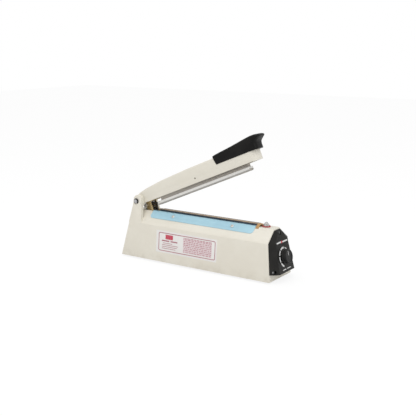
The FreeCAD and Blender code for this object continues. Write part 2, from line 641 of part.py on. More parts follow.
def runs_along(edge, axis):
    """Whether a straight edge runs along an axis, 0 for X, 1 for Y and 2 for Z."""
    if edge.Curve.TypeId != "Part::GeomLine":
        return False
    return abs(edge.Curve.Direction[axis]) > 0.999


def middle(edge):
    return edge.BoundBox.Center


nodes = []


def node(label, pieces, frame="housing"):
    """One sub-part of the part, put in its frame and named."""
    pieces = pieces if isinstance(pieces, list) else [pieces]
    whole = pieces[0]
    if len(pieces) > 1 or whole.TypeId != "PartDesign::Body":
        whole = doc.addObject("Part::Compound", label + "_group")
        whole.Links = pieces
    whole.Label = label
    frames[frame](whole)
    nodes.append(whole)
    return whole


def in_housing(whole):
    """Frame of the housing: X from the middle of its foot."""
    return move(whole, "-size.frame_centre")


def in_arm(whole):
    """Frame of the open arm: X along it from the hinge axis, Z across it."""
    turn(whole, (0, -1, 0), "size.arm_open")
    return move(whole, "-size.hinge_offset - size.frame_centre", "0", "size.hinge_height")


def in_dial(whole):
    """Frame of the dial: Z out of the front face at the dial's centre, X down the face."""
    turn(whole, (0, 1, 0), "90 deg - size.face_lean")
    return move(whole, "size.dial_place - size.frame_centre", "0", "size.dial_height")


def in_lever(whole):
    """Frame of the switch lever: its pivot, tipped up while the arm is open."""
    turn(whole, (0, 1, 0), "size.lever_swing")
    return move(whole, "-size.lever_pivot - size.frame_centre", "0", "size.lever_pivot_height")


frames = {"housing": in_housing, "arm": in_arm, "dial": in_dial, "lever": in_lever}


tight_screw = "size.screw_radius - size.thread_play"


def pan_screw(name, length, x="0", y="0", z="0"):
    """A pan-head screw pointing down with its head's seat at a place."""
    head = rod(name + "_head", "size.screw_head_radius", "size.screw_head_height", x, y, z)
    shank = rod(name + "_shank", "size.screw_radius", length, x, y, f"{z} - ({length})")
    return fuse(name, [head, shank])


# Housing: leaning walls, sloping shoulders, a narrow deck and two hinge ears, hollow from below.

beyond = "size.base_length"
clear_top = "size.ear_top + size.base_width"


def cut_both_sides(body, name, line, low):
    """Cut away what lies outside an end-view line, a list of half widths and heights, on both sides."""
    top_half, top = line[-1]
    for side, sign in (("left", "-1"), ("right", "1")):
        drawing = sketch(body, f"{name}_{side}", "YZ_Plane")
        corners = [(f"{sign} * ({half})", height) for half, height in line]
        corners.append((f"{sign} * ({top_half})", clear_top))
        corners.append((f"{sign} * size.base_width", clear_top))
        corners.append((f"{sign} * size.base_width", low))
        polygon(drawing, corners if sign == "1" else corners[::-1])
        pocket(body, drawing, f"3 * {beyond}", symmetric=True)


def housing_form(name, inward):
    """The housing's main form, or the hollow inside it when moved inward by the wall."""
    body = new_body(name)
    low = "size.foot_height" if inward == "0" else "size.foot_height - size.overcut"
    corner = f"size.shoulder_height - ({inward}) * tan((90 deg - size.slope_angle) / 2)"
    top = f"size.deck_height - ({inward})"
    half = "size.half_length"
    side = sketch(body, name + "_side", "XZ_Plane")
    polygon(
        side,
        [
            (f"-{half} + {inward}", low),
            (f"{half} - {inward}", low),
            (f"{half} - size.end_rate * (size.deck_height - size.foot_height) - {inward}", top),
            (f"-{half} + size.hinge_rate * (size.deck_height - size.foot_height) + {inward}", top),
        ],
    )
    pad(body, side, "size.base_width", symmetric=True)
    cut_both_sides(
        body,
        name + "_ends",
        [
            (f"size.base_width / 2 - {inward}", low),
            (f"size.shoulder_width / 2 - {inward}", corner),
            (f"size.deck_width / 2 - ({inward}) * tan(size.slope_angle / 2)", top),
        ],
        low,
    )
    return body


shell = housing_form("housing_form", "0")
round_edges(shell, "size.edge_round", lambda edge: middle(edge).z > number("size.foot_height") + 1)

ears = new_body("ears")
ear_low = "size.shoulder_height - size.ear_root"
ear_side = sketch(ears, "ear_side", "XZ_Plane")
polygon(
    ear_side,
    [
        ("-size.half_length + size.hinge_lean + size.ear_foot_inset", ear_low),
        ("-size.ear_front + size.ear_foot_spread", ear_low),
        ("-size.ear_front", "size.ear_top"),
        ("-size.ear_back", "size.ear_top"),
        ("-size.ear_back", "size.hinge_height - size.ear_round"),
    ],
)
pad(ears, ear_side, "size.base_width", symmetric=True)
cut_both_sides(
    ears,
    "ear_ends",
    [
        ("size.shoulder_width / 2", ear_low),
        ("size.shoulder_width / 2", "size.shoulder_height"),
        ("size.ear_top_width / 2", "size.ear_top"),
    ],
    ear_low,
)
ear_gap = sketch(ears, "ear_gap", "YZ_Plane")
boss_low = "size.hinge_height - size.ear_boss_drop"
boss_foot = f"{boss_low} - size.ear_boss_slope"
inner_top = f"size.ear_top_width / 2 + size.ear_rate * (size.ear_top - ({boss_foot})) - size.ear_wall"
inner_low = "size.shoulder_width / 2 - size.ear_wall"
gap_line = [
    ("size.ear_gap / 2", clear_top),
    ("size.ear_gap / 2", boss_low),
    (inner_top, boss_foot),
    (inner_low, "size.shoulder_height"),
]
mirrored = [(f"-({half})", height) for half, height in gap_line]
polygon(ear_gap, gap_line[::-1] + mirrored)
pocket(ears, ear_gap, f"3 * {beyond}", symmetric=True)
round_edges(
    ears,
    "size.ear_round",
    lambda edge: runs_along(edge, 1) and middle(edge).z > number("size.ear_top") - 0.1,
)
hollow = housing_form("hollow", "size.shell_wall")

# Deck slot, lamp hole, cable inlet, hinge bore, screw holes and the corner bosses of the housing.


def slope_screw(name, side, place, radius, length, lift="0"):
    """A rod along the slope's normal, from a lift above the slope down into the housing."""
    tool = doc.addObject("Part::Cylinder", name)
    bind(tool, Radius=radius, Height=length)
    turn(tool, (side, 0, 0), "180 deg + size.slope_angle")
    run = "size.plate_screw_reach * cos(size.slope_angle)"
    fall = "size.plate_screw_reach * sin(size.slope_angle)"
    across = f"size.deck_width / 2 + {run} + ({lift}) * sin(size.slope_angle)"
    up = f"size.deck_height - {fall} + ({lift}) * cos(size.slope_angle)"
    return move(tool, place, f"{-side} * ({across})", up)


def wall_rod(name, radius, start, length):
    """A rod square to the rear wall at the cable inlet, from a start along the outward normal."""
    tool = doc.addObject("Part::Cylinder", name)
    bind(tool, Radius=radius, Height=length)
    turn(tool, (-1, 0, 0), "90 deg - size.wall_lean")
    across = f"size.inlet_face + ({start}) * cos(size.wall_lean)"
    return move(tool, "-size.inlet_place", across, f"size.inlet_height + ({start}) * sin(size.wall_lean)")


hood_screw_places = (
    ("size.hood_top_seat", "0", "size.hood_top_screw"),
    ("size.hood_low_seat", "-size.hood_low_screw_half", "size.hood_low + size.hood_low_screw_rise"),
    ("size.hood_low_seat", "size.hood_low_screw_half", "size.hood_low + size.hood_low_screw_rise"),
)
plate_screw_places = ("-size.plate_screw_back", "size.plate_screw_front")
seal_screw_places = ("-size.seal_start + size.seal_screw_inset", "size.seal_end - size.seal_screw_inset")
boss_across = "size.base_width / 2 - size.boss_side_inset"
boss_along = "size.half_length - size.boss_inset"
corners = [(along_sign, across_sign) for along_sign in ("-1", "1") for across_sign in ("-1", "1")]

bosses = []
boss_holes = []
for place, (first, second) in enumerate(corners):
    spot = (f"{first} * ({boss_along})", f"{second} * ({boss_across})")
    bosses.append(
        rod(f"boss_{place}", "size.boss_radius", "size.boss_height - size.floor", *spot, "size.floor"),
    )
    depth = "size.boss_height - size.floor - size.boss_cap"
    boss_holes.append(rod(f"boss_hole_{place}", "size.screw_radius", depth, *spot, "size.floor"))

openings = [
    hollow,
    slab(
        "deck_slot",
        "-size.slot_start",
        "size.deck_inside - size.shell_wall",
        "size.slot_start - size.slot_end",
        "size.slot_width",
        "3 * size.shell_wall",
    ),
    rod(
        "lamp_hole",
        "size.lamp_radius + size.fit_clearance",
        "3 * size.shell_wall",
        "size.lamp_place",
        "0",
        "size.deck_inside - size.shell_wall",
    ),
    cross_rod(
        "hinge_bore",
        "size.hinge_pin_radius + size.running_clearance",
        "size.base_width",
        "-size.hinge_offset",
        "size.hinge_height",
    ),
    wall_rod(
        "inlet_hole",
        "size.inlet_radius + size.grommet_wall + size.fit_clearance",
        "-3 * size.shell_wall",
        "6 * size.shell_wall",
    ),
    slab(
        "hood_window",
        "size.half_length - size.window_depth",
        "size.hood_low + size.window_margin",
        "2 * size.window_depth",
        "size.hood_face_width",
        "size.shoulder_height - size.hood_low - 2 * size.window_margin",
    ),
]
slope_hole_depth = "size.plate_screw_length + size.shell_wall"
for place, x in enumerate(plate_screw_places):
    for side in (1, -1):
        hole = slope_screw(
            f"slope_hole_{place}_{side + 1}",
            side,
            x,
            "size.screw_radius",
            slope_hole_depth,
            "size.overcut",
        )
        openings.append(hole)
for place, x in enumerate(seal_screw_places):
    openings.append(
        rod(
            f"seal_hole_{place}",
            "size.screw_radius + size.fit_clearance",
            "3 * size.shell_wall",
            x,
            "0",
            "size.deck_inside - size.shell_wall",
        ),
    )

for place, (x, across, height) in enumerate(hood_screw_places):
    spot = ("size.half_length - size.window_depth", across, height, "x")
    openings.append(rod(f"end_hole_{place}", "size.screw_radius", "2 * size.window_depth", *spot))
for side in (-1, 1):
    seat = "size.ring_seat_width / 2" if side > 0 else "-size.ring_seat_width / 2 - size.base_width"
    spot = ("-size.hinge_offset", seat, "size.hinge_height", "y")
    openings.append(
        rod(f"ring_seat_{side + 1}", "size.ring_radius + size.ring_seat_gap", "size.base_width", *spot),
    )

outside = fuse("housing_outside", [shell, ears])
walls = cut("housing_walls", outside, openings)
node("base_housing", cut("housing_bossed", fuse("housing_with_bosses", [walls] + bosses), boss_holes))


# Bottom plate with its screws and the rubber feet.

plate_half = "size.half_length - size.shell_wall - size.plate_margin"
plate_side = "size.base_width / 2 - size.shell_wall - size.plate_margin"
sheet_plate = slab(
    "plate_sheet_block",
    f"-({plate_half})",
    "size.plate_floor",
    f"2 * ({plate_half})",
    f"2 * ({plate_side})",
    "size.bottom_sheet",
)
plate_holes = []
stem_room = "size.rubber_stem_radius + size.fit_clearance"
bottom_screws = []
feet = []
for place, (first, second) in enumerate(corners):
    spot = (f"{first} * ({boss_along})", f"{second} * ({boss_across})")
    plate_holes.append(
        rod(
            f"plate_hole_{place}",
            "size.screw_radius + size.fit_clearance",
            "4 * size.bottom_sheet",
            *spot,
            "0",
        ),
    )
    head = rod(
        f"bottom_head_{place}",
        "size.screw_head_radius",
        "size.screw_head_height",
        *spot,
        "size.plate_floor - size.screw_head_height",
    )
    shank = rod(f"bottom_shank_{place}", tight_screw, "size.bottom_screw_length", *spot, "size.plate_floor")
    bottom_screws.append(fuse(f"bottom_screw_{place}", [head, shank]))
    foot_spot = (
        f"{first} * (size.half_length - size.rubber_inset)",
        f"{second} * (size.base_width / 2 - size.rubber_side_inset)",
    )
    plate_holes.append(rod(f"foot_hole_{place}", stem_room, "4 * size.bottom_sheet", *foot_spot, "0"))
    disc = rod(f"foot_disc_{place}", "size.rubber_radius", "size.plate_floor", *foot_spot, "0")
    stem = rod(f"foot_stem_{place}", "size.rubber_stem_radius", "size.floor", *foot_spot, "0")
    button = rod(
        f"foot_button_{place}",
        "size.rubber_button_radius",
        "size.rubber_button_height",
        *foot_spot,
        "size.floor",
    )
    feet.append(fuse(f"rubber_foot_{place}", [disc, stem, button]))
node("bottom_plate", cut("plate_with_holes", sheet_plate, plate_holes))
node("bottom_screws", bottom_screws)
node("rubber_feet", feet)


# Control hood: a faceted moulding on the hood end, hollow, held by three screws.


def leaning_sketch(body, name, x, z, lean):
    """A sketch across the part whose plane leans back by an angle about its low edge."""
    drawing = sketch(body, name, "YZ_Plane", x)
    base = FreeCAD.Vector(0, number(z), number(x))
    drawing.AttachmentOffset = FreeCAD.Placement(base, FreeCAD.Rotation(FreeCAD.Vector(-1, 0, 0), 1))
    drawing.setExpression("AttachmentOffset.Base.y", z)
    drawing.setExpression("AttachmentOffset.Rotation.Angle", lean)
    return drawing


def hexagon(drawing, lean, low_half, middle_half, top_half, middle_height, top_height, low="0"):
    """A hood outline, given by half widths and heights above the sketch's low edge."""
    up = [f"({height}) / cos({lean})" for height in (low, middle_height, top_height)]
    polygon(
        drawing,
        [
            (f"-({low_half})", up[0]),
            (low_half, up[0]),
            (middle_half, up[1]),
            (top_half, up[2]),
            (f"-({top_half})", up[2]),
            (f"-({middle_half})", up[1]),
        ],
    )


flange_shape = (
    "size.hood_low_width / 2",
    "size.shoulder_width / 2 - size.hood_shoulder_inset",
    "size.hood_top_width / 2",
)
face_shape = (
    "size.hood_face_width / 2",
    "size.hood_face_middle_width / 2",
    "size.hood_face_top_width / 2",
)
flange_heights = ("size.shoulder_height - size.hood_low", "size.hood_top - size.hood_low")
face_heights = ("size.shoulder_height - size.hood_low", "size.hood_face_top - size.hood_low")


def hood_form(name, inward):
    """The hood's outer form, or the hollow inside it when moved inward by the wall."""
    body = new_body(name)
    back = leaning_sketch(
        body,
        name + "_back",
        f"size.end_place - ({inward})",
        "size.hood_low",
        "size.end_lean",
    )
    flange = leaning_sketch(
        body,
        name + "_flange",
        "size.end_place + size.hood_flange",
        "size.hood_low",
        "size.end_lean",
    )
    face = leaning_sketch(
        body,
        name + "_face",
        f"size.hood_face_low - ({inward}) / cos(size.face_lean)",
        "size.hood_low",
        "size.face_lean",
    )
    shapes = []
    for drawing, lean, widths, heights in (
        (back, "size.end_lean", flange_shape, flange_heights),
        (flange, "size.end_lean", flange_shape, flange_heights),
        (face, "size.face_lean", face_shape, face_heights),
    ):
        inside = [f"{width} - ({inward})" for width in widths]
        lower = [f"{height} - size.hood_slope_share * ({inward})" for height in heights]
        hexagon(drawing, lean, *inside, *lower, inward)
        shapes.append(drawing)
    loft(body, shapes)
    return body


hood_outside = hood_form("hood_form", "0")
hood_inside = hood_form("hood_hollow", "size.hood_wall")
posts = []
hood_cuts = [rod("dial_hole", "size.bush_radius + size.fit_clearance", "size.hood_bore")]
turn(hood_cuts[0], (0, 1, 0), "90 deg - size.face_lean")
bore_x = "size.dial_place - size.hood_bore / 2 * cos(size.face_lean)"
move(hood_cuts[0], bore_x, "0", "size.dial_height - size.hood_bore / 2 * sin(size.face_lean)")
hood_screws = []
for place, (seat, across, height) in enumerate(hood_screw_places):
    wall = f"size.half_length - size.end_rate * ({height} - size.foot_height)"
    spot = (across, height, "x")
    room = "size.screw_head_radius + size.counterbore_gap"
    post_start = f"{wall} - size.overcut"
    posts.append(
        rod(f"post_{place}", f"{room} + size.post_wall", f"{seat} - ({post_start})", post_start, *spot),
    )
    hood_cuts.append(rod(f"counterbore_{place}", room, "size.hood_bore", seat, *spot))
    bore_start = f"{seat} - size.hood_bore / 2"
    hood_cuts.append(
        rod(
            f"post_hole_{place}",
            "size.screw_radius + size.fit_clearance",
            "size.hood_bore",
            bore_start,
            *spot,
        ),
    )
    head = rod(f"hood_head_{place}", "size.screw_head_radius", "size.screw_head_height", seat, *spot)
    shank = rod(
        f"hood_shank_{place}",
        tight_screw,
        "size.hood_screw_length",
        f"{seat} - size.hood_screw_length",
        *spot,
    )
    hood_screws.append(fuse(f"hood_screw_{place}", [head, shank]))
hood_walls = cut("hood_walls", hood_outside, [hood_inside])
post_shapes = common("hood_posts", [fuse("post_rods", posts), hood_outside])
node("control_hood", cut("hood_bored", fuse("hood_with_posts", [hood_walls, post_shapes]), hood_cuts))
node("hood_screws", hood_screws)


# Timer potentiometer behind the hood's face, its nut, and the dial on its shaft.

pot_back = "-size.hood_wall - size.fit_clearance"
pot_body = fuse(
    "pot_solid",
    [
        rod("pot_can", "size.pot_radius", "size.pot_depth", "0", "0", f"{pot_back} - size.pot_depth"),
        rod("pot_bush", "size.bush_radius", "size.bush_length", "0", "0", pot_back),
        box(
            "pot_tags",
            "size.pot_radius - size.pot_tag_sheet",
            "-size.pot_tag_width / 2",
            f"{pot_back} - 3 * size.pot_tag_sheet",
            "size.pot_tag_length",
            "size.pot_tag_width",
            "size.pot_tag_sheet",
        ),
    ],
)
shaft_bore = rod(
    "pot_bore",
    "size.shaft_radius + size.running_clearance",
    "2 * size.hood_bore",
    "0",
    "0",
    "-size.hood_bore",
)
node("timer_potentiometer", cut("pot_bored", pot_body, [shaft_bore]), "dial")
nut_block = doc.addObject("Part::Prism", "nut_block")
nut_block.Polygon = 6
bind(nut_block, Circumradius="size.bush_radius + size.nut_rim", Height="size.nut_height")
nut_hole = rod(
    "nut_hole",
    "size.bush_radius + size.thread_play",
    "2 * size.nut_height",
    "0",
    "0",
    "-size.overcut",
)
node("potentiometer_nut", cut("nut_bored", nut_block, [nut_hole]), "dial")

dial = new_body("dial_body")
dial_section = sketch(dial, "dial_section", "XZ_Plane")
polygon(
    dial_section,
    [
        ("0", "size.dial_rise - size.dial_recess"),
        ("0", "size.dial_rise"),
        ("size.dial_grip_radius - size.dial_chamfer", "size.dial_rise"),
        ("size.dial_grip_radius", "size.dial_rise - size.dial_chamfer"),
        ("size.dial_grip_radius + size.dial_draft", "size.dial_gap + size.dial_skirt"),
        ("size.dial_radius", "size.dial_skirt"),
        ("size.dial_radius", "size.dial_gap"),
        ("size.bush_radius + size.dial_nut_room", "size.dial_gap"),
        ("size.bush_radius + size.dial_nut_room", "size.bush_length - size.hood_wall + size.dial_draft"),
        ("size.shaft_radius + size.thread_play", "size.bush_length - size.hood_wall + size.dial_draft"),
        ("size.shaft_radius + size.thread_play", "size.dial_rise - size.dial_recess"),
    ],
)
revolve(dial, dial_section)
skirt_top = "size.dial_gap + size.dial_skirt"
for side, sign in (("left", "-1"), ("right", "1")):
    flank = sketch(dial, f"dial_flank_{side}", "YZ_Plane")
    polygon(
        flank,
        [
            (f"{sign} * size.dial_rib / 2", "size.dial_rise + size.overcut"),
            (f"{sign} * size.dial_radius", "size.dial_rise + size.overcut"),
            (f"{sign} * size.dial_radius", skirt_top),
            (
                f"{sign} * (size.dial_rib / 2 + size.dial_flank_spread)",
                f"{skirt_top} + size.dial_flank_rise",
            ),
        ][:: int(sign)],
    )
    pocket(dial, flank, "3 * size.dial_radius", symmetric=True)
node("timer_dial", dial, "dial")
shaft_length = "size.dial_rise - size.dial_recess + size.pot_depth"
node("dial_shaft", rod("shaft", "size.shaft_radius", shaft_length, "0", "0", "-size.pot_depth"), "dial")


# Indicator lamp: flange ring, faceted lens and body through the deck.

flange = rod(
    "lamp_flange_disc",
    "size.lamp_flange_radius",
    "size.lamp_flange_height",
    "size.lamp_place",
    "0",
    "size.deck_height",
)
flange_bore = rod(
    "lamp_flange_bore",
    "size.lamp_radius + size.fit_clearance",
    "20",
    "size.lamp_place",
    "0",
    "size.deck_height - 10",
)
node("lamp_flange", cut("lamp_flange_ring", flange, [flange_bore]))
lens_seat = "size.deck_height + size.lamp_flange_height"
lens_wall = "size.lamp_lens_height - size.lens_dome"
lens_base = rod(
    "lens_base",
    "size.lamp_radius + size.lens_rim",
    lens_wall,
    "size.lamp_place",
    "0",
    lens_seat,
)
lens_dome = doc.addObject("Part::Cone", "lens_dome")
bind(
    lens_dome,
    Radius1="size.lamp_radius + size.lens_rim",
    Radius2="size.lamp_radius - size.lens_taper",
    Height="size.lens_dome",
)
move(lens_dome, "size.lamp_place", "0", f"{lens_seat} + {lens_wall}")
node("lamp_lens", fuse("lens_solid", [lens_base, lens_dome]))
lamp_low = f"{lens_seat} - size.lamp_depth"
lamp_tail_low = f"{lamp_low} - size.lamp_tail_length"
node(
    "lamp_body",
    fuse(
        "lamp_solid",
        [
            rod("lamp_barrel", "size.lamp_radius", "size.lamp_depth", "size.lamp_place", "0", lamp_low),
            rod(
                "lamp_tail",
                "size.lamp_tail_radius",
                "size.lamp_tail_length",
                "size.lamp_place",
                "0",
                lamp_tail_low,
            ),
            rod(
                "lamp_nut",
                "size.lamp_radius + size.lamp_nut_rim",
                "size.lamp_nut_height",
                "size.lamp_place",
                "0",
                "size.deck_inside - size.lamp_nut_height",
            ),
        ],
    ),
)


# Sealing bar on the deck: bar, tape, element ribbon, end terminals, cloth and the screws from below.

bar_length = "size.seal_end + size.seal_start"
bar_block = slab(
    "seal_block",
    "-size.seal_start",
    "size.deck_height",
    bar_length,
    "size.seal_width",
    "size.seal_rise",
)
bar_holes = []
seal_screws = []
for place, x in enumerate(seal_screw_places):
    bar_holes.append(
        rod(
            f"bar_hole_{place}",
            "size.screw_radius + size.thread_play",
            "size.seal_rise - size.seal_screw_cap",
            x,
            "0",
            "size.deck_height",
        ),
    )
    under = "size.deck_inside - size.bracket_sheet" if place == 0 else "size.deck_inside"
    head = rod(
        f"seal_head_{place}",
        "size.screw_head_radius",
        "size.screw_head_height",
        x,
        "0",
        f"{under} - size.screw_head_height",
    )
    shank = rod(
        f"seal_shank_{place}",
        "size.screw_radius",
        f"size.deck_height + size.seal_screw_reach - ({under})",
        x,
        "0",
        under,
    )
    seal_screws.append(fuse(f"seal_screw_{place}", [head, shank]))
node("sealing_bar", cut("seal_bar_bored", bar_block, bar_holes))
node("seal_bar_screws", seal_screws)
tape_low = "size.deck_height + size.seal_rise"
node(
    "insulating_tape",
    slab("tape", "-size.seal_start", tape_low, bar_length, "size.seal_width", "size.tape_thickness"),
)
terminal_height = "size.seal_rise + size.tape_thickness"
terminal_starts = ("-size.seal_start - size.terminal_length - size.end_gap", "size.seal_end + size.end_gap")
terminals = [
    slab(
        f"terminal_{place}",
        x,
        "size.deck_height",
        "size.terminal_length",
        "size.terminal_width",
        terminal_height,
    )
    for place, x in enumerate(terminal_starts)
]
node("element_terminals", terminals)
ribbon_low = f"{tape_low} + size.tape_thickness"
ribbon_half = "size.terminal_length - size.ribbon_inset"
node(
    "heating_element",
    slab(
        "ribbon",
        f"-size.seal_start - {ribbon_half}",
        ribbon_low,
        f"{bar_length} + 2 * ({ribbon_half})",
        "size.element_width",
        "size.element_thickness",
    ),
)
cloth_low = f"{ribbon_low} + size.element_thickness"
cloth_length = f"{bar_length} + size.cloth_lap_back + size.cloth_lap_front"
cloth_start = "-size.seal_start - size.cloth_lap_back"
cloth_strip = slab(
    "cloth_strip",
    cloth_start,
    cloth_low,
    cloth_length,
    "size.cloth_width",
    "size.cloth_thickness",
)
cloth_flap = new_body("cloth_flap")
flap = sketch(cloth_flap, "flap_section", "YZ_Plane", "size.plate_end + size.flap_gap")
edge_half = "size.deck_width / 2"
reach_across = f"({edge_half} + size.flap_reach * cos(size.slope_angle))"
reach_down = "(size.deck_height - size.flap_reach * sin(size.slope_angle))"
flap_root = "-size.cloth_width / 2 + size.fit_clearance"
flap_edge = "-size.seal_width / 2 + size.fit_clearance"
polygon(
    flap,
    [
        (flap_edge, "size.cloth_top"),
        (flap_root, "size.cloth_top"),
        (flap_root, cloth_low),
        (flap_edge, cloth_low),
        (f"-{edge_half}", "size.deck_height + size.flap_lift"),
        (f"-{reach_across}", f"{reach_down} + size.flap_lift"),
        (f"-{reach_across} - size.flap_lift", f"{reach_down} + size.flap_lift + size.cloth_thickness"),
        (f"-{edge_half} - size.flap_lift", "size.deck_height + size.flap_lift + size.cloth_thickness"),
    ],
)
pad(cloth_flap, flap, "size.flap_width")
node("ptfe_cloth", fuse("cloth_whole", [cloth_strip, cloth_flap]))


# Cover plates on the slopes beside the sealing bar, and their screws.


def cover_plate(label, side):
    """A folded plate: a lip on the deck and a wing down the slope; side is -1 in front and 1 behind."""
    body = new_body(label + "_body")
    section = sketch(body, label + "_section", "YZ_Plane", "-size.plate_start")
    lift = "size.plate_sheet"
    across = "size.plate_reach * cos(size.slope_angle)"
    down = "size.plate_reach * sin(size.slope_angle)"
    fold = "(size.plate_sheet + size.fit_clearance) * tan(size.slope_angle / 2)"
    gap = "size.fit_clearance"
    tip_out = f"({lift} + {gap}) * sin(size.slope_angle)"
    tip_up = f"({lift} + {gap}) * cos(size.slope_angle)"
    corners = [
        ("size.seal_width / 2 + size.end_gap", f"size.deck_height + {gap}"),
        ("size.seal_width / 2 + size.end_gap", f"size.deck_height + {gap} + {lift}"),
        (f"{edge_half} + {fold}", f"size.deck_height + {gap} + {lift}"),
        (f"{edge_half} + {across} + {tip_out}", f"size.deck_height - {down} + {tip_up}"),
        (
            f"{edge_half} + {across} + {gap} * sin(size.slope_angle)",
            f"size.deck_height - {down} + {gap} * cos(size.slope_angle)",
        ),
        (f"{edge_half} + {gap} * tan(size.slope_angle / 2)", f"size.deck_height + {gap}"),
    ]
    polygon(section, [(f"{side} * ({half})", height) for half, height in corners][::-side])
    pad(body, section, "size.plate_start + size.plate_end")
    limit = number("size.deck_width / 2 + size.plate_reach * cos(size.slope_angle) / 2")
    round_edges(
        body,
        "size.plate_round",
        lambda edge: abs(middle(edge).y) > limit
        and not runs_along(edge, 0)
        and edge.Length < number("size.plate_sheet") + 0.1,
    )
    holes = [
        slope_screw(
            f"{label}_hole_{place}",
            -side,
            x,
            "size.screw_radius + size.fit_clearance",
            "6 * size.plate_sheet",
            "4 * size.plate_sheet",
        )
        for place, x in enumerate(plate_screw_places)
    ]
    return node(label, cut(label + "_bored", body, holes))


cover_plate("front_cover_plate", -1)
cover_plate("rear_cover_plate", 1)
cover_screws = []
seat = "size.plate_sheet + size.fit_clearance"
for place, x in enumerate(plate_screw_places):
    for side in (1, -1):
        name = f"cover_{place}_{side + 1}"
        head = slope_screw(
            name + "_head",
            side,
            x,
            "size.screw_head_radius",
            "size.screw_head_height",
            f"{seat} + size.screw_head_height",
        )
        shank = slope_screw(
            name + "_shank",
            side,
            x,
            tight_screw,
            f"{seat} + size.plate_screw_length",
            seat,
        )
        cover_screws.append(fuse(name, [head, shank]))
node("cover_plate_screws", cover_screws)


# Front label: a thin film on the leaning front wall.

label_body = new_body("label_body")
label_section = sketch(label_body, "label_section", "YZ_Plane", "-size.label_start")
wall_at = "size.base_width / 2 - size.wall_rate * ({} - size.foot_height)"
low_half = wall_at.format("size.label_low")
high_half = wall_at.format("size.label_high")
polygon(
    label_section,
    [
        (f"-({low_half})", "size.label_low"),
        (f"-({high_half})", "size.label_high"),
        (f"-({high_half}) - size.label_film", "size.label_high"),
        (f"-({low_half}) - size.label_film", "size.label_low"),
    ],
)
pad(label_body, label_section, "size.label_start + size.label_end")
node("front_label", label_body)


# Transformer on the bottom plate: laminated core, winding round its middle leg, strap and screws.

core_start = "size.core_place - size.core_length / 2"
window_width = "(size.core_length - 2 * size.core_leg) / 2"
window_height = "size.core_height - size.core_leg"
core = slab(
    "core_block",
    core_start,
    "size.floor",
    "size.core_length",
    "size.core_stack",
    "size.core_height",
)
windows = [
    slab(
        f"core_window_{place}",
        x,
        "size.floor + size.core_leg / 2",
        window_width,
        "2 * size.core_stack",
        window_height,
    )
    for place, x in enumerate(
        (f"{core_start} + size.core_leg / 2", "size.core_place + size.core_leg / 2")
    )
]
node("transformer_core", cut("core_windowed", core, windows))
wound = "size.core_leg + 2 * size.winding_thickness"
wound_height = f"{window_height} - 2 * size.fit_clearance"
wound_low = "size.floor + size.core_leg / 2 + size.fit_clearance"
wound_across = "size.core_stack + 2 * size.winding_thickness"
leg_gap = "2 * size.fit_clearance"
winding = slab(
    "winding_block",
    f"size.core_place - ({wound}) / 2",
    wound_low,
    wound,
    wound_across,
    wound_height,
)
winding_bore = slab(
    "winding_bore",
    "size.core_place - size.core_leg / 2 - size.fit_clearance",
    "size.floor",
    f"size.core_leg + {leg_gap}",
    f"size.core_stack + {leg_gap}",
    "size.core_height",
)
node("transformer_winding", cut("winding_bored", winding, [winding_bore]))
strap = new_body("strap_body")
strap_section = sketch(strap, "strap_section", "XZ_Plane")
inner = "size.core_length / 2 + size.fit_clearance"
outer = f"{inner} + size.strap_sheet"
roof = "size.floor + size.core_height + size.fit_clearance"
right_half = [
    (inner, "size.floor"),
    (f"{outer} + size.strap_tab", "size.floor"),
    (f"{outer} + size.strap_tab", "size.floor + size.strap_sheet"),
    (outer, "size.floor + size.strap_sheet"),
    (outer, f"{roof} + size.strap_sheet"),
]
left_half = [(f"-({across})", height) for across, height in right_half[::-1]]
inside = [(f"-({inner})", roof), (inner, roof)]
strap_corners = right_half + left_half + inside
polygon(strap_section, [(f"size.core_place + ({across})", height) for across, height in strap_corners])
pad(strap, strap_section, "size.core_stack - 2 * size.strap_inset", symmetric=True)
strap_cuts = []
strap_screws = []
for place, sign in enumerate(("-1", "1")):
    x = f"size.core_place + {sign} * ({outer} + size.strap_tab / 2)"
    strap_cuts.append(
        rod(
            f"strap_hole_{place}",
            "size.screw_radius + size.fit_clearance",
            "5 * size.strap_sheet",
            x,
            "0",
            "size.floor - size.overcut",
        ),
    )
    strap_screws.append(
        pan_screw(f"strap_screw_{place}", "size.strap_sheet", x, "0", "size.floor + size.strap_sheet"),
    )
node("transformer_strap", cut("strap_bored", strap, strap_cuts))
node("transformer_screws", strap_screws)


# Timer board on four standoffs, with its components and screws.

board_low = "size.floor + size.board_lift"
board_top = f"{board_low} + size.board_sheet"
board_block = slab(
    "board_block",
    "size.board_start",
    board_low,
    "size.board_length",
    "size.board_width",
    "size.board_sheet",
)
board_middle = "size.board_start + size.board_length / 2"
board_holes = []
bore_low = f"{board_low} - 2 / 3 * size.board_lift"
standoffs = []
board_screws = []
for place, (first, second) in enumerate(corners):
    spot = (
        f"{board_middle} + {first} * (size.board_length / 2 - size.board_hole_inset)",
        f"{second} * (size.board_width / 2 - size.board_hole_inset)",
    )
    board_holes.append(
        rod(
            f"board_hole_{place}",
            "size.screw_radius + size.fit_clearance",
            "3 * size.board_sheet",
            *spot,
            f"{board_low} - size.overcut",
        ),
    )
    post = rod(f"standoff_{place}", "size.standoff_radius", "size.board_lift", *spot, "size.floor")
    post_bore = rod(
        f"standoff_bore_{place}",
        "size.screw_radius + size.thread_play",
        "size.board_lift",
        *spot,
        bore_low,
    )
    standoffs.append(cut(f"standoff_bored_{place}", post, [post_bore]))
    board_screws.append(pan_screw(f"board_screw_{place}", "size.board_lift / 2", *spot, board_top))
node("timer_board", cut("board_bored", board_block, board_holes))
node("board_standoffs", standoffs)
node("board_screws", board_screws)
relay_x = "size.board_start + size.relay_place"
capacitor_x = "size.board_start + size.capacitor_place"
large_y = "-1.5 * size.capacitor_radius"
small_y = "1.75 * size.small_capacitor_radius"
trimmer_x = "size.board_start + size.trimmer_place"
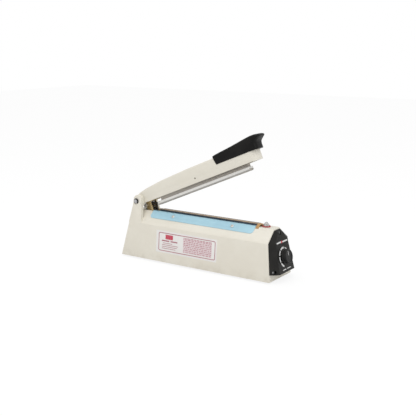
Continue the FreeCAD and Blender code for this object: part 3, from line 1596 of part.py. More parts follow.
row_x = "size.board_start + size.row_place"
plug_y = "-size.relay_width / 2 - 1.5 * size.plug_row_width"
components = [
    slab("relay", relay_x, board_top, "size.relay_length", "size.relay_width", "size.relay_width"),
    rod(
        "capacitor_large",
        "size.capacitor_radius",
        "size.capacitor_height",
        capacitor_x,
        large_y,
        board_top,
    ),
    rod(
        "capacitor_small",
        "size.small_capacitor_radius",
        "size.small_capacitor_height",
        capacitor_x,
        small_y,
        board_top,
    ),
    slab(
        "trimmer",
        trimmer_x,
        board_top,
        "size.trimmer_width",
        "size.trimmer_width",
        "size.trimmer_height",
    ),
    box(
        "chip",
        row_x,
        "size.relay_width * 2 / 3",
        board_top,
        "size.chip_length",
        "size.chip_width",
        "size.chip_height",
    ),
    box(
        "plug_row",
        row_x,
        plug_y,
        board_top,
        "size.plug_row_length",
        "size.plug_row_width",
        "size.trimmer_width",
    ),
]
node("timer_components", components)


# Microswitch under the deck slot: folded bracket that also seats the return spring, switch, lever, button.

leg_front = "size.switch_front - size.switch_depth"
bracket_half = "size.trip_gap / 2 - size.bracket_side_gap"
bracket_drop = "size.spring_foot - size.bracket_sheet"
bracket_corner = "size.slot_end - size.fit_clearance"
bracket = new_body("bracket_fold")
bracket_section = sketch(bracket, "bracket_section", "XZ_Plane")
spring_edge = "size.spring_offset + size.spring_radius + size.spring_seat_margin"
flange_end = "size.seal_start - size.bracket_flange_inset"
polygon(
    bracket_section,
    [
        (f"-({spring_edge})", bracket_drop),
        (f"-({bracket_corner}) + size.bracket_sheet", bracket_drop),
        (f"-({bracket_corner}) + size.bracket_sheet", "size.deck_inside - size.bracket_sheet"),
        (f"-({flange_end})", "size.deck_inside - size.bracket_sheet"),
        (f"-({flange_end})", "size.deck_inside"),
        (f"-({bracket_corner})", "size.deck_inside"),
        (f"-({bracket_corner})", "size.spring_foot"),
        (f"-({spring_edge})", "size.spring_foot"),
    ],
)
pad(bracket, bracket_section, f"2 * ({bracket_half})", symmetric=True)
leg_low = "size.switch_top - size.switch_height - size.bracket_leg_reach"
leg = box(
    "bracket_leg",
    "-size.switch_start",
    f"-({leg_front})",
    leg_low,
    f"size.switch_start - ({bracket_corner}) + size.bracket_sheet",
    "size.bracket_sheet",
    f"{bracket_drop} - ({leg_low})",
)
bracket_holes = [
    rod(
        "bracket_screw_hole",
        "size.screw_radius + size.fit_clearance",
        "4 * size.bracket_sheet",
        seal_screw_places[0],
        "0",
        "size.deck_inside - 3 * size.bracket_sheet",
    )
]
switch_screw_places = (
    "-size.switch_start + size.switch_screw_inset",
    "-size.switch_start + size.switch_length - size.switch_screw_inset",
)
switch_block = box(
    "switch_block",
    "-size.switch_start",
    "-size.switch_front",
    "size.switch_top - size.switch_height",
    "size.switch_length",
    "size.switch_depth",
    "size.switch_height",
)
switch_middle = "size.switch_front - size.switch_depth / 2"
ear_offset = "size.lever_width / 2 + size.fit_clearance"
ear_spots = (
    f"-({switch_middle}) - ({ear_offset}) - size.switch_ear_wall",
    f"-({switch_middle}) + {ear_offset}",
)
switch_ears = [
    box(
        f"switch_ear_{place}",
        "-size.lever_pivot - size.switch_ear_length / 2",
        y,
        "size.switch_top - size.switch_ear_root",
        "size.switch_ear_length",
        "size.switch_ear_wall",
        "size.switch_ear_height",
    )
    for place, y in enumerate(ear_spots)
]
button_place = "-size.lever_pivot - size.button_reach"
switch_cuts = [
    rod(
        "button_bore",
        "size.button_radius + size.running_clearance",
        "2 * size.button_bore",
        button_place,
        f"-({switch_middle})",
        "size.switch_top - size.button_bore",
    ),
    rod(
        "pivot_bore",
        "size.lever_pin_radius + size.running_clearance",
        "2 * size.switch_depth",
        "-size.lever_pivot",
        f"-({switch_middle}) - size.switch_depth",
        "size.lever_pivot_height",
        "y",
    ),
]
button_foot = "size.switch_top - size.button_root"
switch_screws = []
for place, x in enumerate(switch_screw_places):
    height = "size.switch_top - size.switch_height + size.switch_screw_rise"
    front = "-size.switch_front"
    radius = "size.switch_screw_radius"
    spot = (x, f"{front} - size.overcut", height, "y")
    switch_cuts.append(
        rod(f"switch_hole_{place}", f"{radius} + size.fit_clearance", "2 * size.switch_depth", *spot),
    )
    spot = (x, f"-({leg_front}) - size.overcut", height, "y")
    bracket_holes.append(
        rod(f"leg_hole_{place}", f"{radius} + size.thread_play", "4 * size.bracket_sheet", *spot),
    )
    spot = (x, f"{front} - size.switch_head_height", height, "y")
    head = rod(f"switch_head_{place}", "size.switch_head_radius", "size.switch_head_height", *spot)
    shank = rod(
        f"switch_shank_{place}",
        radius,
        "size.switch_depth + size.bracket_sheet",
        x,
        front,
        height,
        "y",
    )
    switch_screws.append(fuse(f"switch_screw_{place}", [head, shank]))
node("switch_bracket", cut("bracket_bored", fuse("bracket_solid", [bracket, leg]), bracket_holes))
node(
    "microswitch_body",
    cut("switch_bored", fuse("switch_solid", [switch_block] + switch_ears), switch_cuts),
)
node("microswitch_screws", switch_screws)
node(
    "switch_button",
    rod(
        "button_rod",
        "size.button_radius",
        f"size.lever_rise - size.lever_sheet - size.button_gap + size.button_travel - ({button_foot})",
        button_place,
        f"-({switch_middle})",
        button_foot,
    ),
)
leaf_top = "size.lever_rise - size.lever_pivot_height"
leaf_low = f"{leaf_top} - size.lever_sheet"
leaf_length = "size.lever_length + size.lever_heel"
post_start = "size.lever_heel - size.lever_post_depth"
pin_length = "size.lever_width + 2 * size.switch_ear_wall"
across = f"-({switch_middle}) - size.lever_width / 2"
node(
    "switch_lever",
    fuse(
        "lever_solid",
        [
            box(
                "lever_leaf",
                "-size.lever_length",
                across,
                leaf_low,
                leaf_length,
                "size.lever_width",
                "size.lever_sheet",
            ),
            box(
                "lever_post",
                post_start,
                across,
                "0",
                "size.lever_post_depth",
                "size.lever_width",
                leaf_top,
            ),
            rod("lever_knuckle", "size.lever_knuckle_radius", "size.lever_width", "0", across, "0", "y"),
            rod(
                "lever_pin",
                "size.lever_pin_radius",
                pin_length,
                "0",
                f"{across} - size.switch_ear_wall",
                "0",
                "y",
            ),
        ],
    ),
    "lever",
)


# Cable inlet: a rubber grommet in the rear wall.

barrel_start = "-size.shell_wall - size.end_gap"
barrel_length = "size.shell_wall + size.end_gap + size.fit_clearance"
grommet = fuse(
    "grommet_solid",
    [
        wall_rod("grommet_barrel", "size.inlet_radius + size.grommet_wall", barrel_start, barrel_length),
        wall_rod("grommet_flange_disc", "size.grommet_radius", "size.fit_clearance", "size.grommet_flange"),
        wall_rod(
            "grommet_lip",
            "size.grommet_radius",
            f"{barrel_start} - size.grommet_flange",
            "size.grommet_flange",
        ),
    ],
)
grommet_bore = wall_rod("grommet_bore", "size.inlet_radius", "-4 * size.shell_wall", "8 * size.shell_wall")
node("cable_grommet", cut("grommet_bored", grommet, [grommet_bore]))


# Hinge pin through the ears and the arm, with two retaining rings.

pin_length = "size.ring_seat_width + 2 * (size.ring_thickness + size.hinge_pin_stickout)"
node(
    "hinge_pin",
    cross_rod(
        "hinge_pin_rod",
        "size.hinge_pin_radius",
        pin_length,
        "-size.hinge_offset",
        "size.hinge_height",
    ),
)
rings = []
gap_start = "-size.hinge_offset - size.ring_opening / 2"
gap_low = "size.hinge_height - 2 * size.ring_radius"
for side in ("-1", "1"):
    start = f"{side} * (size.ring_seat_width / 2 + size.ring_thickness / 2) - size.ring_thickness / 2"
    spot = ("-size.hinge_offset", start, "size.hinge_height", "y")
    name = "ring_front" if side == "-1" else "ring_rear"
    disc = rod(name, "size.ring_radius", "size.ring_thickness", *spot)
    bore = cross_rod(
        name + "_bore",
        "size.hinge_pin_radius + size.thread_play",
        "size.base_width",
        *spot[::2],
    )
    gap = slab(
        name + "_gap",
        gap_start,
        gap_low,
        "size.ring_opening",
        "size.base_width",
        "2 * size.ring_radius",
    )
    rings.append(cut(name + "_open", disc, [bore, gap]))
node("retaining_rings", rings)


# Return spring between its seat under the deck and the arm's bracket.

coil = doc.addObject("Part::Helix", "spring_line")
spring_height = "size.spring_head - size.spring_foot - size.spring_wire"
bind(
    coil,
    Pitch=f"({spring_height}) / size.spring_turns",
    Height=spring_height,
    Radius="size.spring_radius - size.spring_wire / 2",
)
move(coil, "0", "0", "size.spring_foot + size.spring_wire / 2")
section = doc.addObject("Part::Circle", "spring_section")
bind(section, Radius="size.spring_wire / 2")
turn(section, (1, 0, 0), "90")
move(section, "size.spring_radius - size.spring_wire / 2", "0", "size.spring_foot + size.spring_wire / 2")
doc.recompute()
spring = doc.addObject("Part::Sweep", "spring_coil")
spring.Sections = [section]
spring.Spine = (coil, [f"Edge{place + 1}" for place in range(len(coil.Shape.Edges))])
spring.Solid = True
spring.Frenet = True
spring_group = doc.addObject("Part::Compound", "spring_group")
spring_group.Links = [spring]
move(spring_group, "-size.spring_offset")
node("return_spring", spring_group)


# Press arm: a long hollow moulding, solid at the hinge, stepped down under the grip.

roof_rate = "(size.arm_front_rise - size.arm_back_rise) / size.arm_step"


def crest(share, below="0"):
    """A point of the arm's bulging top, at a share of the way to the step, or below it."""
    place = f"{share} * size.arm_step"
    return place, f"size.arm_back_rise + {roof_rate} * {place} + size.arm_crest - {below}"


arm = new_body("arm_form")
arm_side = sketch(arm, "arm_side", "XZ_Plane")
polygon(
    arm_side,
    [
        ("-size.arm_tail", "-size.arm_below"),
        ("size.arm_length", "-size.arm_below"),
        ("size.arm_length", "size.arm_tongue_rise"),
        ("size.step_foot", "size.arm_tongue_rise"),
        ("size.arm_step", "size.arm_front_rise"),
        crest("2 / 3"),
        crest("1 / 3"),
        ("1.3 * size.arm_back_rise", "size.arm_back_rise"),
        ("0.3 * size.arm_back_rise", "size.arm_back_rise - size.arm_tail_dip"),
        ("-size.arm_tail / 3", "size.arm_back_rise - size.arm_tail_slope"),
        ("-size.arm_tail", "size.arm_below / 3"),
    ],
)
pad(arm, arm_side, "size.arm_width", symmetric=True)
round_edges(
    arm,
    "size.arm_nose_round",
    lambda edge: runs_along(edge, 2) and middle(edge).x > number("size.arm_length") - 0.1,
)
round_edges(
    arm,
    "size.arm_top_round",
    lambda edge: abs(middle(edge).y) > number("size.arm_width / 2") - 0.1
    and number("size.arm_tail") < middle(edge).x < number("size.arm_step") - 1
    and middle(edge).z > 0,
)
arm_hollow = new_body("arm_hollow")
hollow_side = sketch(arm_hollow, "arm_hollow_side", "XZ_Plane")
roof_at = "size.arm_back_rise + " + roof_rate + " * {} - size.arm_wall"
polygon(
    hollow_side,
    [
        ("size.arm_cavity_start", "-size.arm_below - size.overcut"),
        ("size.arm_length - size.arm_nose_round", "-size.arm_below - size.overcut"),
        ("size.arm_length - size.arm_nose_round", "size.arm_tongue_rise - size.arm_wall"),
        ("size.step_foot - size.arm_wall", "size.arm_tongue_rise - size.arm_wall"),
        ("size.arm_step - size.arm_wall", roof_at.format("(size.arm_step - size.arm_wall)")),
        crest("2 / 3", "size.arm_wall"),
        crest("1 / 3", "size.arm_wall"),
        ("size.arm_cavity_start", roof_at.format("size.arm_cavity_start")),
    ],
)
pad(arm_hollow, hollow_side, "size.arm_width - 2 * size.arm_wall", symmetric=True)
grip_screw_places = ("size.arm_step + size.grip_screw_back", "size.arm_length - size.grip_screw_front")
bracket_screw_spots = ("-size.trip_screw_half", "size.trip_screw_half")
arm_cuts = [
    arm_hollow,
    cross_rod(
        "arm_hinge_bore",
        "size.hinge_pin_radius + size.running_clearance",
        "2 * size.arm_width",
        "0",
        "0",
    ),
    cross_rod(
        "guide_bore",
        "size.pivot_radius + size.thread_play",
        "2 * size.arm_width",
        "size.pivot_place",
        "size.pivot_rise",
    ),
]
grip_screws = []
for place, x in enumerate(grip_screw_places):
    arm_cuts.append(
        rod(
            f"tongue_hole_{place}",
            "size.screw_radius + size.fit_clearance",
            "size.grip_screw_length",
            x,
            "0",
            "size.arm_tongue_rise - 3 * size.arm_wall",
        ),
    )
    ceiling = "size.arm_tongue_rise - size.arm_wall"
    head_low = f"{ceiling} - size.grip_screw_head"
    head = rod(f"grip_head_{place}", "size.screw_head_radius", "size.grip_screw_head", x, "0", head_low)
    shank = rod(f"grip_shank_{place}", tight_screw, "size.grip_screw_length", x, "0", ceiling)
    grip_screws.append(fuse(f"grip_screw_{place}", [head, shank]))
for place, y in enumerate(bracket_screw_spots):
    spot = ("size.trip_screw_place", y, "-size.arm_below")
    arm_cuts.append(rod(f"bracket_bore_{place}", "size.screw_radius", "size.trip_screw_length", *spot))
node("arm_shell", cut("arm_bored", arm, arm_cuts), "arm")
node("grip_screws", grip_screws, "arm")


# Grip: a crowned moulding on the arm's tongue, with a lip at its tip and webs for its screws.

grip = new_body("grip_form")
grip_side = sketch(grip, "grip_side", "XZ_Plane")
grip_floor = "size.arm_tongue_rise + size.fit_clearance"
grip_back = "size.step_foot + size.end_gap"
grip_end = "size.arm_length + size.grip_heel"
grip_top_low = "size.arm_front_rise + size.grip_back_rise"
polygon(
    grip_side,
    [
        (grip_back, grip_floor),
        (grip_end, grip_floor),
        (grip_end, "size.arm_tongue_rise + size.grip_heel_rise"),
        ("size.arm_length + size.grip_throat_reach", "size.arm_tongue_rise + size.grip_throat_rise"),
        (
            "size.grip_lip - size.grip_lip_inset",
            "size.grip_crown - size.grip_lip_drop - size.grip_lip_thickness",
        ),
        ("size.grip_lip", "size.grip_crown - size.grip_lip_drop"),
        ("size.arm_length + size.grip_front_reach", "size.grip_crown - size.grip_front_drop"),
        ("size.arm_length + size.grip_crown_inset", "size.grip_crown"),
        ("size.arm_length - size.grip_crown_inset", "size.grip_crown"),
        ("size.arm_step + size.grip_crown_start", "size.grip_crown - size.grip_crown_dip"),
        ("size.arm_step + size.grip_back_inset", grip_top_low),
    ],
)
pad(grip, grip_side, "size.grip_width", symmetric=True)
round_edges(
    grip,
    "size.grip_round",
    lambda edge: abs(middle(edge).y) > number("size.grip_width / 2") - 0.1
    and middle(edge).z > number(grip_top_low)
    and edge.BoundBox.XLength > edge.BoundBox.ZLength,
)
grip_cuts = []
web_spots = [f"{grip_back} + size.grip_wall"]
for x in grip_screw_places:
    web_spots += [f"{x} - size.grip_web_half", f"{x} + size.grip_web_half"]
web_spots.append(f"{grip_end} - size.grip_wall")
for place in range(0, len(web_spots), 2):
    start, end = web_spots[place : place + 2]
    ceiling = "size.arm_front_rise - size.grip_wall - size.arm_tongue_rise"
    grip_cuts.append(
        slab(
            f"grip_cell_{place}",
            start,
            grip_floor,
            f"{end} - ({start})",
            "size.grip_width - 2 * size.grip_wall",
            ceiling,
        ),
    )
for place, x in enumerate(grip_screw_places):
    grip_cuts.append(
        rod(f"grip_bore_{place}", "size.screw_radius", "size.grip_screw_length", x, "0", grip_floor),
    )
node("handle_grip", cut("grip_bored", grip, grip_cuts), "arm")


# Trip bracket under the arm: web and two cheeks that reach into the deck slot, its screws and its pin.

web_low = "-size.arm_below - size.trip_sheet"
cheek_reach = "size.trip_depth - size.arm_below"
trip_parts = [
    slab(
        "trip_web",
        "size.trip_start",
        web_low,
        "size.trip_web_end - size.trip_start",
        "size.trip_gap + 2 * size.trip_sheet",
        "size.trip_sheet",
    )
]
for place, y in enumerate(("-size.trip_gap / 2 - size.trip_sheet", "size.trip_gap / 2")):
    cheek_length = "size.trip_cheek - size.trip_start"
    trip_parts.append(
        box(
            f"trip_cheek_{place}",
            "size.trip_start",
            y,
            "-size.trip_depth",
            cheek_length,
            "size.trip_sheet",
            cheek_reach,
        ),
    )
trip_cuts = [
    cross_rod(
        "trip_pin_bore",
        "size.trip_pin_radius + size.thread_play",
        "size.trip_pin_length",
        "size.trip_pin_place",
        "-size.trip_pin_drop",
    ),
]
trip_screws = []
hole_low = f"{web_low} - size.overcut"
trip_head = "size.screw_head_radius - size.trip_head_inset"
for place, y in enumerate(bracket_screw_spots):
    spot = ("size.trip_screw_place", y)
    trip_cuts.append(
        rod(
            f"trip_hole_{place}",
            "size.screw_radius + size.fit_clearance",
            "3 * size.trip_sheet",
            *spot,
            hole_low,
        ),
    )
    head_low = f"{web_low} - size.trip_head_height"
    head = rod(f"trip_head_{place}", trip_head, "size.trip_head_height", *spot, head_low)
    shank = rod(f"trip_shank_{place}", tight_screw, "size.trip_screw_length", *spot, web_low)
    trip_screws.append(fuse(f"trip_screw_{place}", [head, shank]))
node("trip_bracket", cut("trip_bored", fuse("trip_solid", trip_parts), trip_cuts), "arm")
node("trip_screws", trip_screws, "arm")
node(
    "trip_pin",
    cross_rod(
        "trip_pin_rod",
        "size.trip_pin_radius",
        "size.trip_pin_length",
        "size.trip_pin_place",
        "-size.trip_pin_drop",
    ),
    "arm",
)
node(
    "pivot_pin",
    cross_rod(
        "pivot_pin_rod",
        "size.pivot_radius",
        "size.arm_width - 2 * size.pivot_inset",
        "size.pivot_place",
        "size.pivot_rise",
    ),
    "arm",
)


# Press bar: an aluminium channel and rail that rock on the pivot pin, with a silicone strip.

lug_start = "size.pivot_place - size.lug_length / 2"
channel_height = "size.bar_bottom - size.bar_top - size.strip_rise"
channel_low = "-size.bar_bottom + size.strip_rise"
bar_span = "size.bar_end - size.bar_start"
channel = slab("channel_block", "size.bar_start", channel_low, bar_span, "size.bar_width", channel_height)
rail = slab(
    "rail_block",
    "size.rail_start",
    "-size.bar_top",
    "size.rail_end - size.rail_start",
    "size.rail_width",
    "size.bar_top + size.rail_top",
)
lug = slab(
    "lug_block",
    lug_start,
    "-size.bar_top",
    "size.lug_length",
    "size.rail_width",
    "size.bar_top + size.lug_rise",
)
channel_groove = slab(
    "channel_groove",
    "size.bar_start - size.overcut",
    "-size.bar_bottom",
    f"{bar_span} + 2 * size.overcut",
    "size.bar_width - 2 * size.bar_lip",
    "size.strip_depth + size.strip_rise",
)
lug_bore = cross_rod(
    "lug_bore",
    "size.pivot_radius + size.running_clearance",
    "2 * size.rail_width",
    "size.pivot_place",
    "size.pivot_rise",
)
node(
    "press_bar",
    cut("press_bar_bored", fuse("press_bar_solid", [channel, rail, lug]), [channel_groove, lug_bore]),
    "arm",
)
node(
    "silicone_strip",
    slab(
        "strip_block",
        "size.bar_start + size.strip_inset",
        "-size.bar_bottom",
        f"{bar_span} - 2 * size.strip_inset",
        "size.bar_width - 2 * size.bar_lip - 2 * size.fit_clearance",
        "size.strip_depth + size.strip_rise - size.fit_clearance",
    ),
    "arm",
)
spacer_width = "(size.arm_width - 2 * size.arm_wall - size.rail_width) / 2 - 2 * size.spacer_gap"
spacer_start = "size.rail_width / 2 + size.spacer_gap"
spacers = []
for name, start in (("left", spacer_start), ("right", f"-({spacer_start}) - ({spacer_width})")):
    spot = ("size.pivot_place", start, "size.pivot_rise", "y")
    sleeve = rod(f"spacer_{name}", "size.pivot_radius + size.spacer_wall", spacer_width, *spot)
    bore = rod(f"spacer_{name}_bore", "size.pivot_radius + size.thread_play", spacer_width, *spot)
    spacers.append(cut(f"spacer_{name}_ring", sleeve, [bore]))
node("pivot_spacers", spacers, "arm")

# Check every object, then write each sub-part.

doc.recompute()
for thing in doc.Objects:
    if "Invalid" in thing.State or "Error" in thing.State:
        raise RuntimeError(f"{thing.Name} failed: {thing.State}")
os.makedirs("parts", exist_ok=True)
for whole in nodes:
    if whole.Shape.isNull() or not whole.Shape.isValid() or not whole.Shape.Solids:
        raise RuntimeError(whole.Label + " has no valid shape")
    whole.Shape.exportStep(f"parts/{whole.Label}.step")
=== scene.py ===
import math
import random

import bmesh
import bpy
from mathutils import Matrix, Vector


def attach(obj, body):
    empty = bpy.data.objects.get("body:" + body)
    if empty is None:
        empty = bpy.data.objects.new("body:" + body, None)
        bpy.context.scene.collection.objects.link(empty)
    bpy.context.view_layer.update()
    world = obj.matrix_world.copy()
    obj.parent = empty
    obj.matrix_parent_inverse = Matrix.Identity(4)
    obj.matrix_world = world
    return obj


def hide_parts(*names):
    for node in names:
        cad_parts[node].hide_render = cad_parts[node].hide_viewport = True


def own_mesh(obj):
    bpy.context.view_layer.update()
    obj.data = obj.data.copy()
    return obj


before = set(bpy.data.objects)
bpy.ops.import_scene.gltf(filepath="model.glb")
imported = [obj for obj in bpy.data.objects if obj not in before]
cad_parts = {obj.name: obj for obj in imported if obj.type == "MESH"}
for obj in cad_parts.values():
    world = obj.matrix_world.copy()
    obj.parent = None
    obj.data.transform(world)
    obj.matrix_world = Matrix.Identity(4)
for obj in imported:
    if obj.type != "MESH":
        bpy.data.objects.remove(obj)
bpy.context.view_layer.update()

# Housing: a leaning trough of enamelled steel with sloping shoulders, a narrow deck and two
# hinge ears. Its edges are rolled, the enamel shows a faint orange peel, and it turns darker
# and browner in patches towards the table.

MM = 0.001
housing_centre = 9.398709 * MM


class Flow:
    """An output of a shader node; a sum written with it adds its Math nodes."""

    def __init__(self, finish, output):
        self.finish = finish
        self.output = output

    def maths(self, operation, *values):
        return self.finish.node("ShaderNodeMath", {"operation": operation}, dict(enumerate(values)))

    def __add__(self, other):
        return self.maths("ADD", self, other)

    def __sub__(self, other):
        return self.maths("SUBTRACT", self, other)

    def __rsub__(self, other):
        return self.maths("SUBTRACT", other, self)

    def __mul__(self, other):
        return self.maths("MULTIPLY", self, other)

    __radd__ = __add__
    __rmul__ = __mul__

    def size(self):
        return self.maths("ABSOLUTE", self)

    def ripple(self, pitch):
        """A wave along a coordinate in metres, from -1 to 1, once in each pitch."""
        return self.maths("SINE", self * (2.0 * math.pi / pitch))

    def between(self, low, high):
        """0 at low, 1 at high and smooth from one to the other; low may be the larger."""
        rising = low < high
        inputs = {"Value": self, "From Min": min(low, high), "From Max": max(low, high)}
        inputs.update({"To Min": 0.0 if rising else 1.0, "To Max": 1.0 if rising else 0.0})
        return self.finish.node("ShaderNodeMapRange", {"interpolation_type": "SMOOTHSTEP"}, inputs)


class Finish:
    """A material and its node tree, built on one Principled shader."""

    def __init__(self, name, **constants):
        self.material = bpy.data.materials.new(name)
        self.material.use_nodes = True
        self.tree = self.material.node_tree
        self.shader = self.tree.nodes["Principled BSDF"]
        for socket, value in constants.items():
            self.shader.inputs[socket.replace("_", " ")].default_value = value
        self.place = self.node("ShaderNodeTexCoord", out="Object")

    def node(self, kind, settings=None, inputs=None, out=0):
        made = self.tree.nodes.new(kind)
        for name, value in (settings or {}).items():
            setattr(made, name, value)
        for socket, value in (inputs or {}).items():
            self.feed(made.inputs[socket], value)
        return Flow(self, made.outputs[out])

    def feed(self, socket, value):
        if isinstance(value, Flow):
            self.tree.links.new(value.output, socket)
        elif socket.type == "RGBA":
            socket.default_value = (*value, 1.0)
        else:
            socket.default_value = value

    def noise(self, scale, detail=3.0, roughness=0.5, place=None):
        """Noise from 0 to 1 with features of about 1 / scale metres."""
        inputs = {"Vector": place or self.place, "Scale": scale, "Detail": detail, "Roughness": roughness}
        return self.node("ShaderNodeTexNoise", None, inputs)

    def stretched(self, scale, turn):
        """Coordinates turned about the Y axis and then stretched, for grain that runs one way."""
        turned = self.node("ShaderNodeMapping", None, {"Vector": self.place, "Rotation": (0.0, turn, 0.0)})
        return self.node("ShaderNodeMapping", None, {"Vector": turned, "Scale": scale})

    def part(self, axis):
        """One coordinate in metres: X, Y or Z."""
        return self.node("ShaderNodeSeparateXYZ", None, {0: self.place}, axis)

    def mix(self, amount, first, second):
        return self.node("ShaderNodeMix", {"data_type": "RGBA"}, {0: amount, 6: first, 7: second}, 2)

    def bump(self, height, depth):
        return self.node("ShaderNodeBump", None, {"Height": height, "Distance": depth})

    def done(self, **sockets):
        for socket, value in sockets.items():
            self.feed(self.shader.inputs[socket.replace("_", " ")], value)
        return self.material


def enamel(name, colour, shade, dust):
    """Baked enamel: faint orange peel, slight clouding, small scuffs, and darker, browner patches near the
    table.
    """
    finish = Finish(name, Coat_Roughness=0.15, Specular_IOR_Level=0.35)
    cloud = finish.noise(14.0, 4.0)
    fine = finish.noise(90.0)
    paint = finish.mix((cloud * 0.7 + fine * 0.3).between(0.36, 0.64), colour, shade)
    # The enamel turns darker and browner in patches over its lowest 22 mm, towards the table.
    low = finish.part("Z").between(22.0 * MM, 2.0 * MM) * finish.noise(55.0, 5.0).between(0.40, 0.72)
    scuff = finish.noise(210.0, 6.0, 0.7).between(0.71, 0.79)
    paint = finish.mix(low * 0.32 + scuff * 0.22, paint, dust)
    peel = finish.bump(finish.noise(520.0, 2.0), 0.05 * MM)
    roughness = cloud * 0.12 + fine * 0.1 + scuff * 0.2 + low * 0.2 + 0.27
    return finish.done(Base_Color=paint, Roughness=roughness, Normal=peel, Coat_Weight=cloud * 0.2 + 0.08)


cream_enamel = enamel("cream_enamel", (0.812, 0.776, 0.682), (0.785, 0.745, 0.648), (0.50, 0.44, 0.35))
MERGE = 0.01 * MM


def add_piece(name, form, material, body, replaced=None, smooth=True):
    """Turn a bmesh into a piece of the part that rides on a CAD body."""
    mesh = bpy.data.meshes.new(name)
    form.to_mesh(mesh)
    form.free()
    for face in mesh.polygons:
        face.use_smooth = smooth
    mesh.materials.append(material)
    piece = bpy.data.objects.new(name, mesh)
    bpy.context.scene.collection.objects.link(piece)
    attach(piece, body)
    if replaced:
        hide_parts(replaced)
    return piece


def round_edges(piece, width, segments=3, angle=30.0):
    """A bevel on every edge sharper than the angle, with flat faces kept flat."""
    edges = piece.modifiers.new("edges", "BEVEL")
    edges.width = width
    edges.segments = segments
    edges.limit_method = "ANGLE"
    edges.angle_limit = math.radians(angle)
    edges.harden_normals = True
    return piece


def merged(node):
    """A copy of a CAD node's mesh with its loose triangles joined."""
    form = bmesh.new()
    form.from_mesh(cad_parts[node].data)
    bmesh.ops.remove_doubles(form, verts=form.verts, dist=MERGE)
    return form


def softened(name, node, body, material, width, angle=30.0):
    """A copy of a CAD node's mesh with its triangles merged into faces and its hard edges rounded."""
    form = merged(node)
    flat = math.radians(0.5)
    bmesh.ops.dissolve_limit(form, angle_limit=flat, verts=form.verts, edges=form.edges)
    piece = add_piece(name, form, material, body, node)
    return round_edges(piece, width, angle=angle)


softened("housing_shell", "base_housing", "base", cream_enamel, 0.8 * MM)

# Bottom plate, its screws and the rubber feet: galvanised sheet screwed into the corner bosses,
# with four moulded rubber feet pushed through it.


def metal(name, light, dark, grain, roughness=0.3, turn=0.0, stain=0.0):
    """Bare or plated metal with grain along one way, cloudy plating and a few dull spots."""
    finish = Finish(name)
    streak = finish.noise(1.0, 4.0, 0.6, finish.stretched(grain, turn))
    cloud = finish.noise(70.0, 4.0)
    spot = finish.noise(420.0, 5.0, 0.65).between(0.62, 0.74)
    tone = finish.mix((streak * 0.6 + cloud * 0.4).between(0.34, 0.66), light, dark)
    bare = 1.0
    if stain:
        tone = finish.mix(spot * stain, tone, tuple(0.45 * part for part in dark))
        bare = 1.0 - spot * 0.25
    return finish.done(
        Base_Color=tone,
        Roughness=streak * 0.16 + cloud * 0.12 + spot * 0.2 + (roughness - 0.14),
        Normal=finish.bump(streak, 0.02 * MM),
        Metallic=bare,
    )


even_grain = (500.0, 500.0, 500.0)
plated_steel = metal("plated_steel", (0.66, 0.66, 0.67), (0.50, 0.50, 0.52), even_grain, 0.32, stain=0.3)
sheet_grain = (60.0, 900.0, 900.0)
sheet_steel = metal("sheet_steel", (0.58, 0.59, 0.60), (0.42, 0.43, 0.44), sheet_grain, 0.42, stain=0.4)


def rubber(name, colour, shade):
    """Matt rubber: fine moulding grain and a bloom of dust."""
    finish = Finish(name, Specular_IOR_Level=0.3)
    bloom = finish.noise(130.0, 5.0)
    fine = finish.noise(900.0, 2.0)
    tone = finish.mix(bloom.between(0.38, 0.66), colour, shade)
    normal = finish.bump(fine, 0.05 * MM)
    return finish.done(Base_Color=tone, Roughness=bloom * 0.2 + 0.6, Normal=normal)


black_rubber = rubber("black_rubber", (0.022, 0.022, 0.022), (0.05, 0.048, 0.045))


def place_along(spot, normal, up=(0.0, 0.0, 1.0)):
    """A place whose Z is the given normal and whose X is as near up as it can be."""
    z = Vector(normal).normalized()
    x = (Vector(up) - Vector(up).project(z)).normalized()
    turned = Matrix((x, z.cross(x), z)).transposed().to_4x4()
    return Matrix.Translation(Vector(spot)) @ turned


def grow(form, loop):
    """Extrude a loop of edges in place; the new vertices and the new edges."""
    grown = bmesh.ops.extrude_edge_only(form, edges=loop)["geom"]
    verts = [item for item in grown if isinstance(item, bmesh.types.BMVert)]
    return verts, [item for item in grown if isinstance(item, bmesh.types.BMEdge)]


def pan_screw(form, place, length, turn):
    """A pan head with a cross recess and its shank below; Z of the place points out of the head."""
    head, rise, shank = 2.9 * MM, 1.8 * MM, 1.45 * MM
    sides = 24
    rings = [(0.0, shank), (0.0, head), (0.5 * rise, head), (0.8 * rise, 0.9 * head), (rise, 0.66 * head)]
    low = bmesh.ops.create_circle(form, segments=sides, radius=shank)["verts"]
    bmesh.ops.translate(form, verts=low, vec=(0.0, 0.0, -length))
    made = list(low)
    loop = list({edge for vert in low for edge in vert.link_edges})
    bmesh.ops.contextual_create(form, geom=loop)
    for height, radius in rings:
        verts, loop = grow(form, loop)
        for vert in verts:
            flat = Vector((vert.co.x, vert.co.y, 0.0)).normalized() * radius
            vert.co = flat + Vector((0.0, 0.0, height))
        made += verts
    arm, half, taper, floor_height = 0.5 * head, 0.1 * head, 0.72, 0.35 * rise
    middle = 0.5 * (arm + half)
    corner = [(arm, 0.0), (arm, half), (middle, half), (half, half), (half, middle), (half, arm)]
    verts, loop = grow(form, loop)
    made += verts
    for vert in verts:
        index = round(math.degrees(math.atan2(vert.co.y, vert.co.x)) / (360.0 / sides)) % sides
        x, y = corner[index % len(corner)]
        quarter = math.radians(90.0) * (index // len(corner))
        vert.co = Matrix.Rotation(quarter, 3, "Z") @ Vector((x, y, rise))
    verts, loop = grow(form, loop)
    made += verts
    for vert in verts:
        vert.co.xy *= taper
        vert.co.z = floor_height
    bmesh.ops.contextual_create(form, geom=loop)
    bmesh.ops.transform(form, matrix=place @ Matrix.Rotation(turn, 4, "Z"), verts=made)


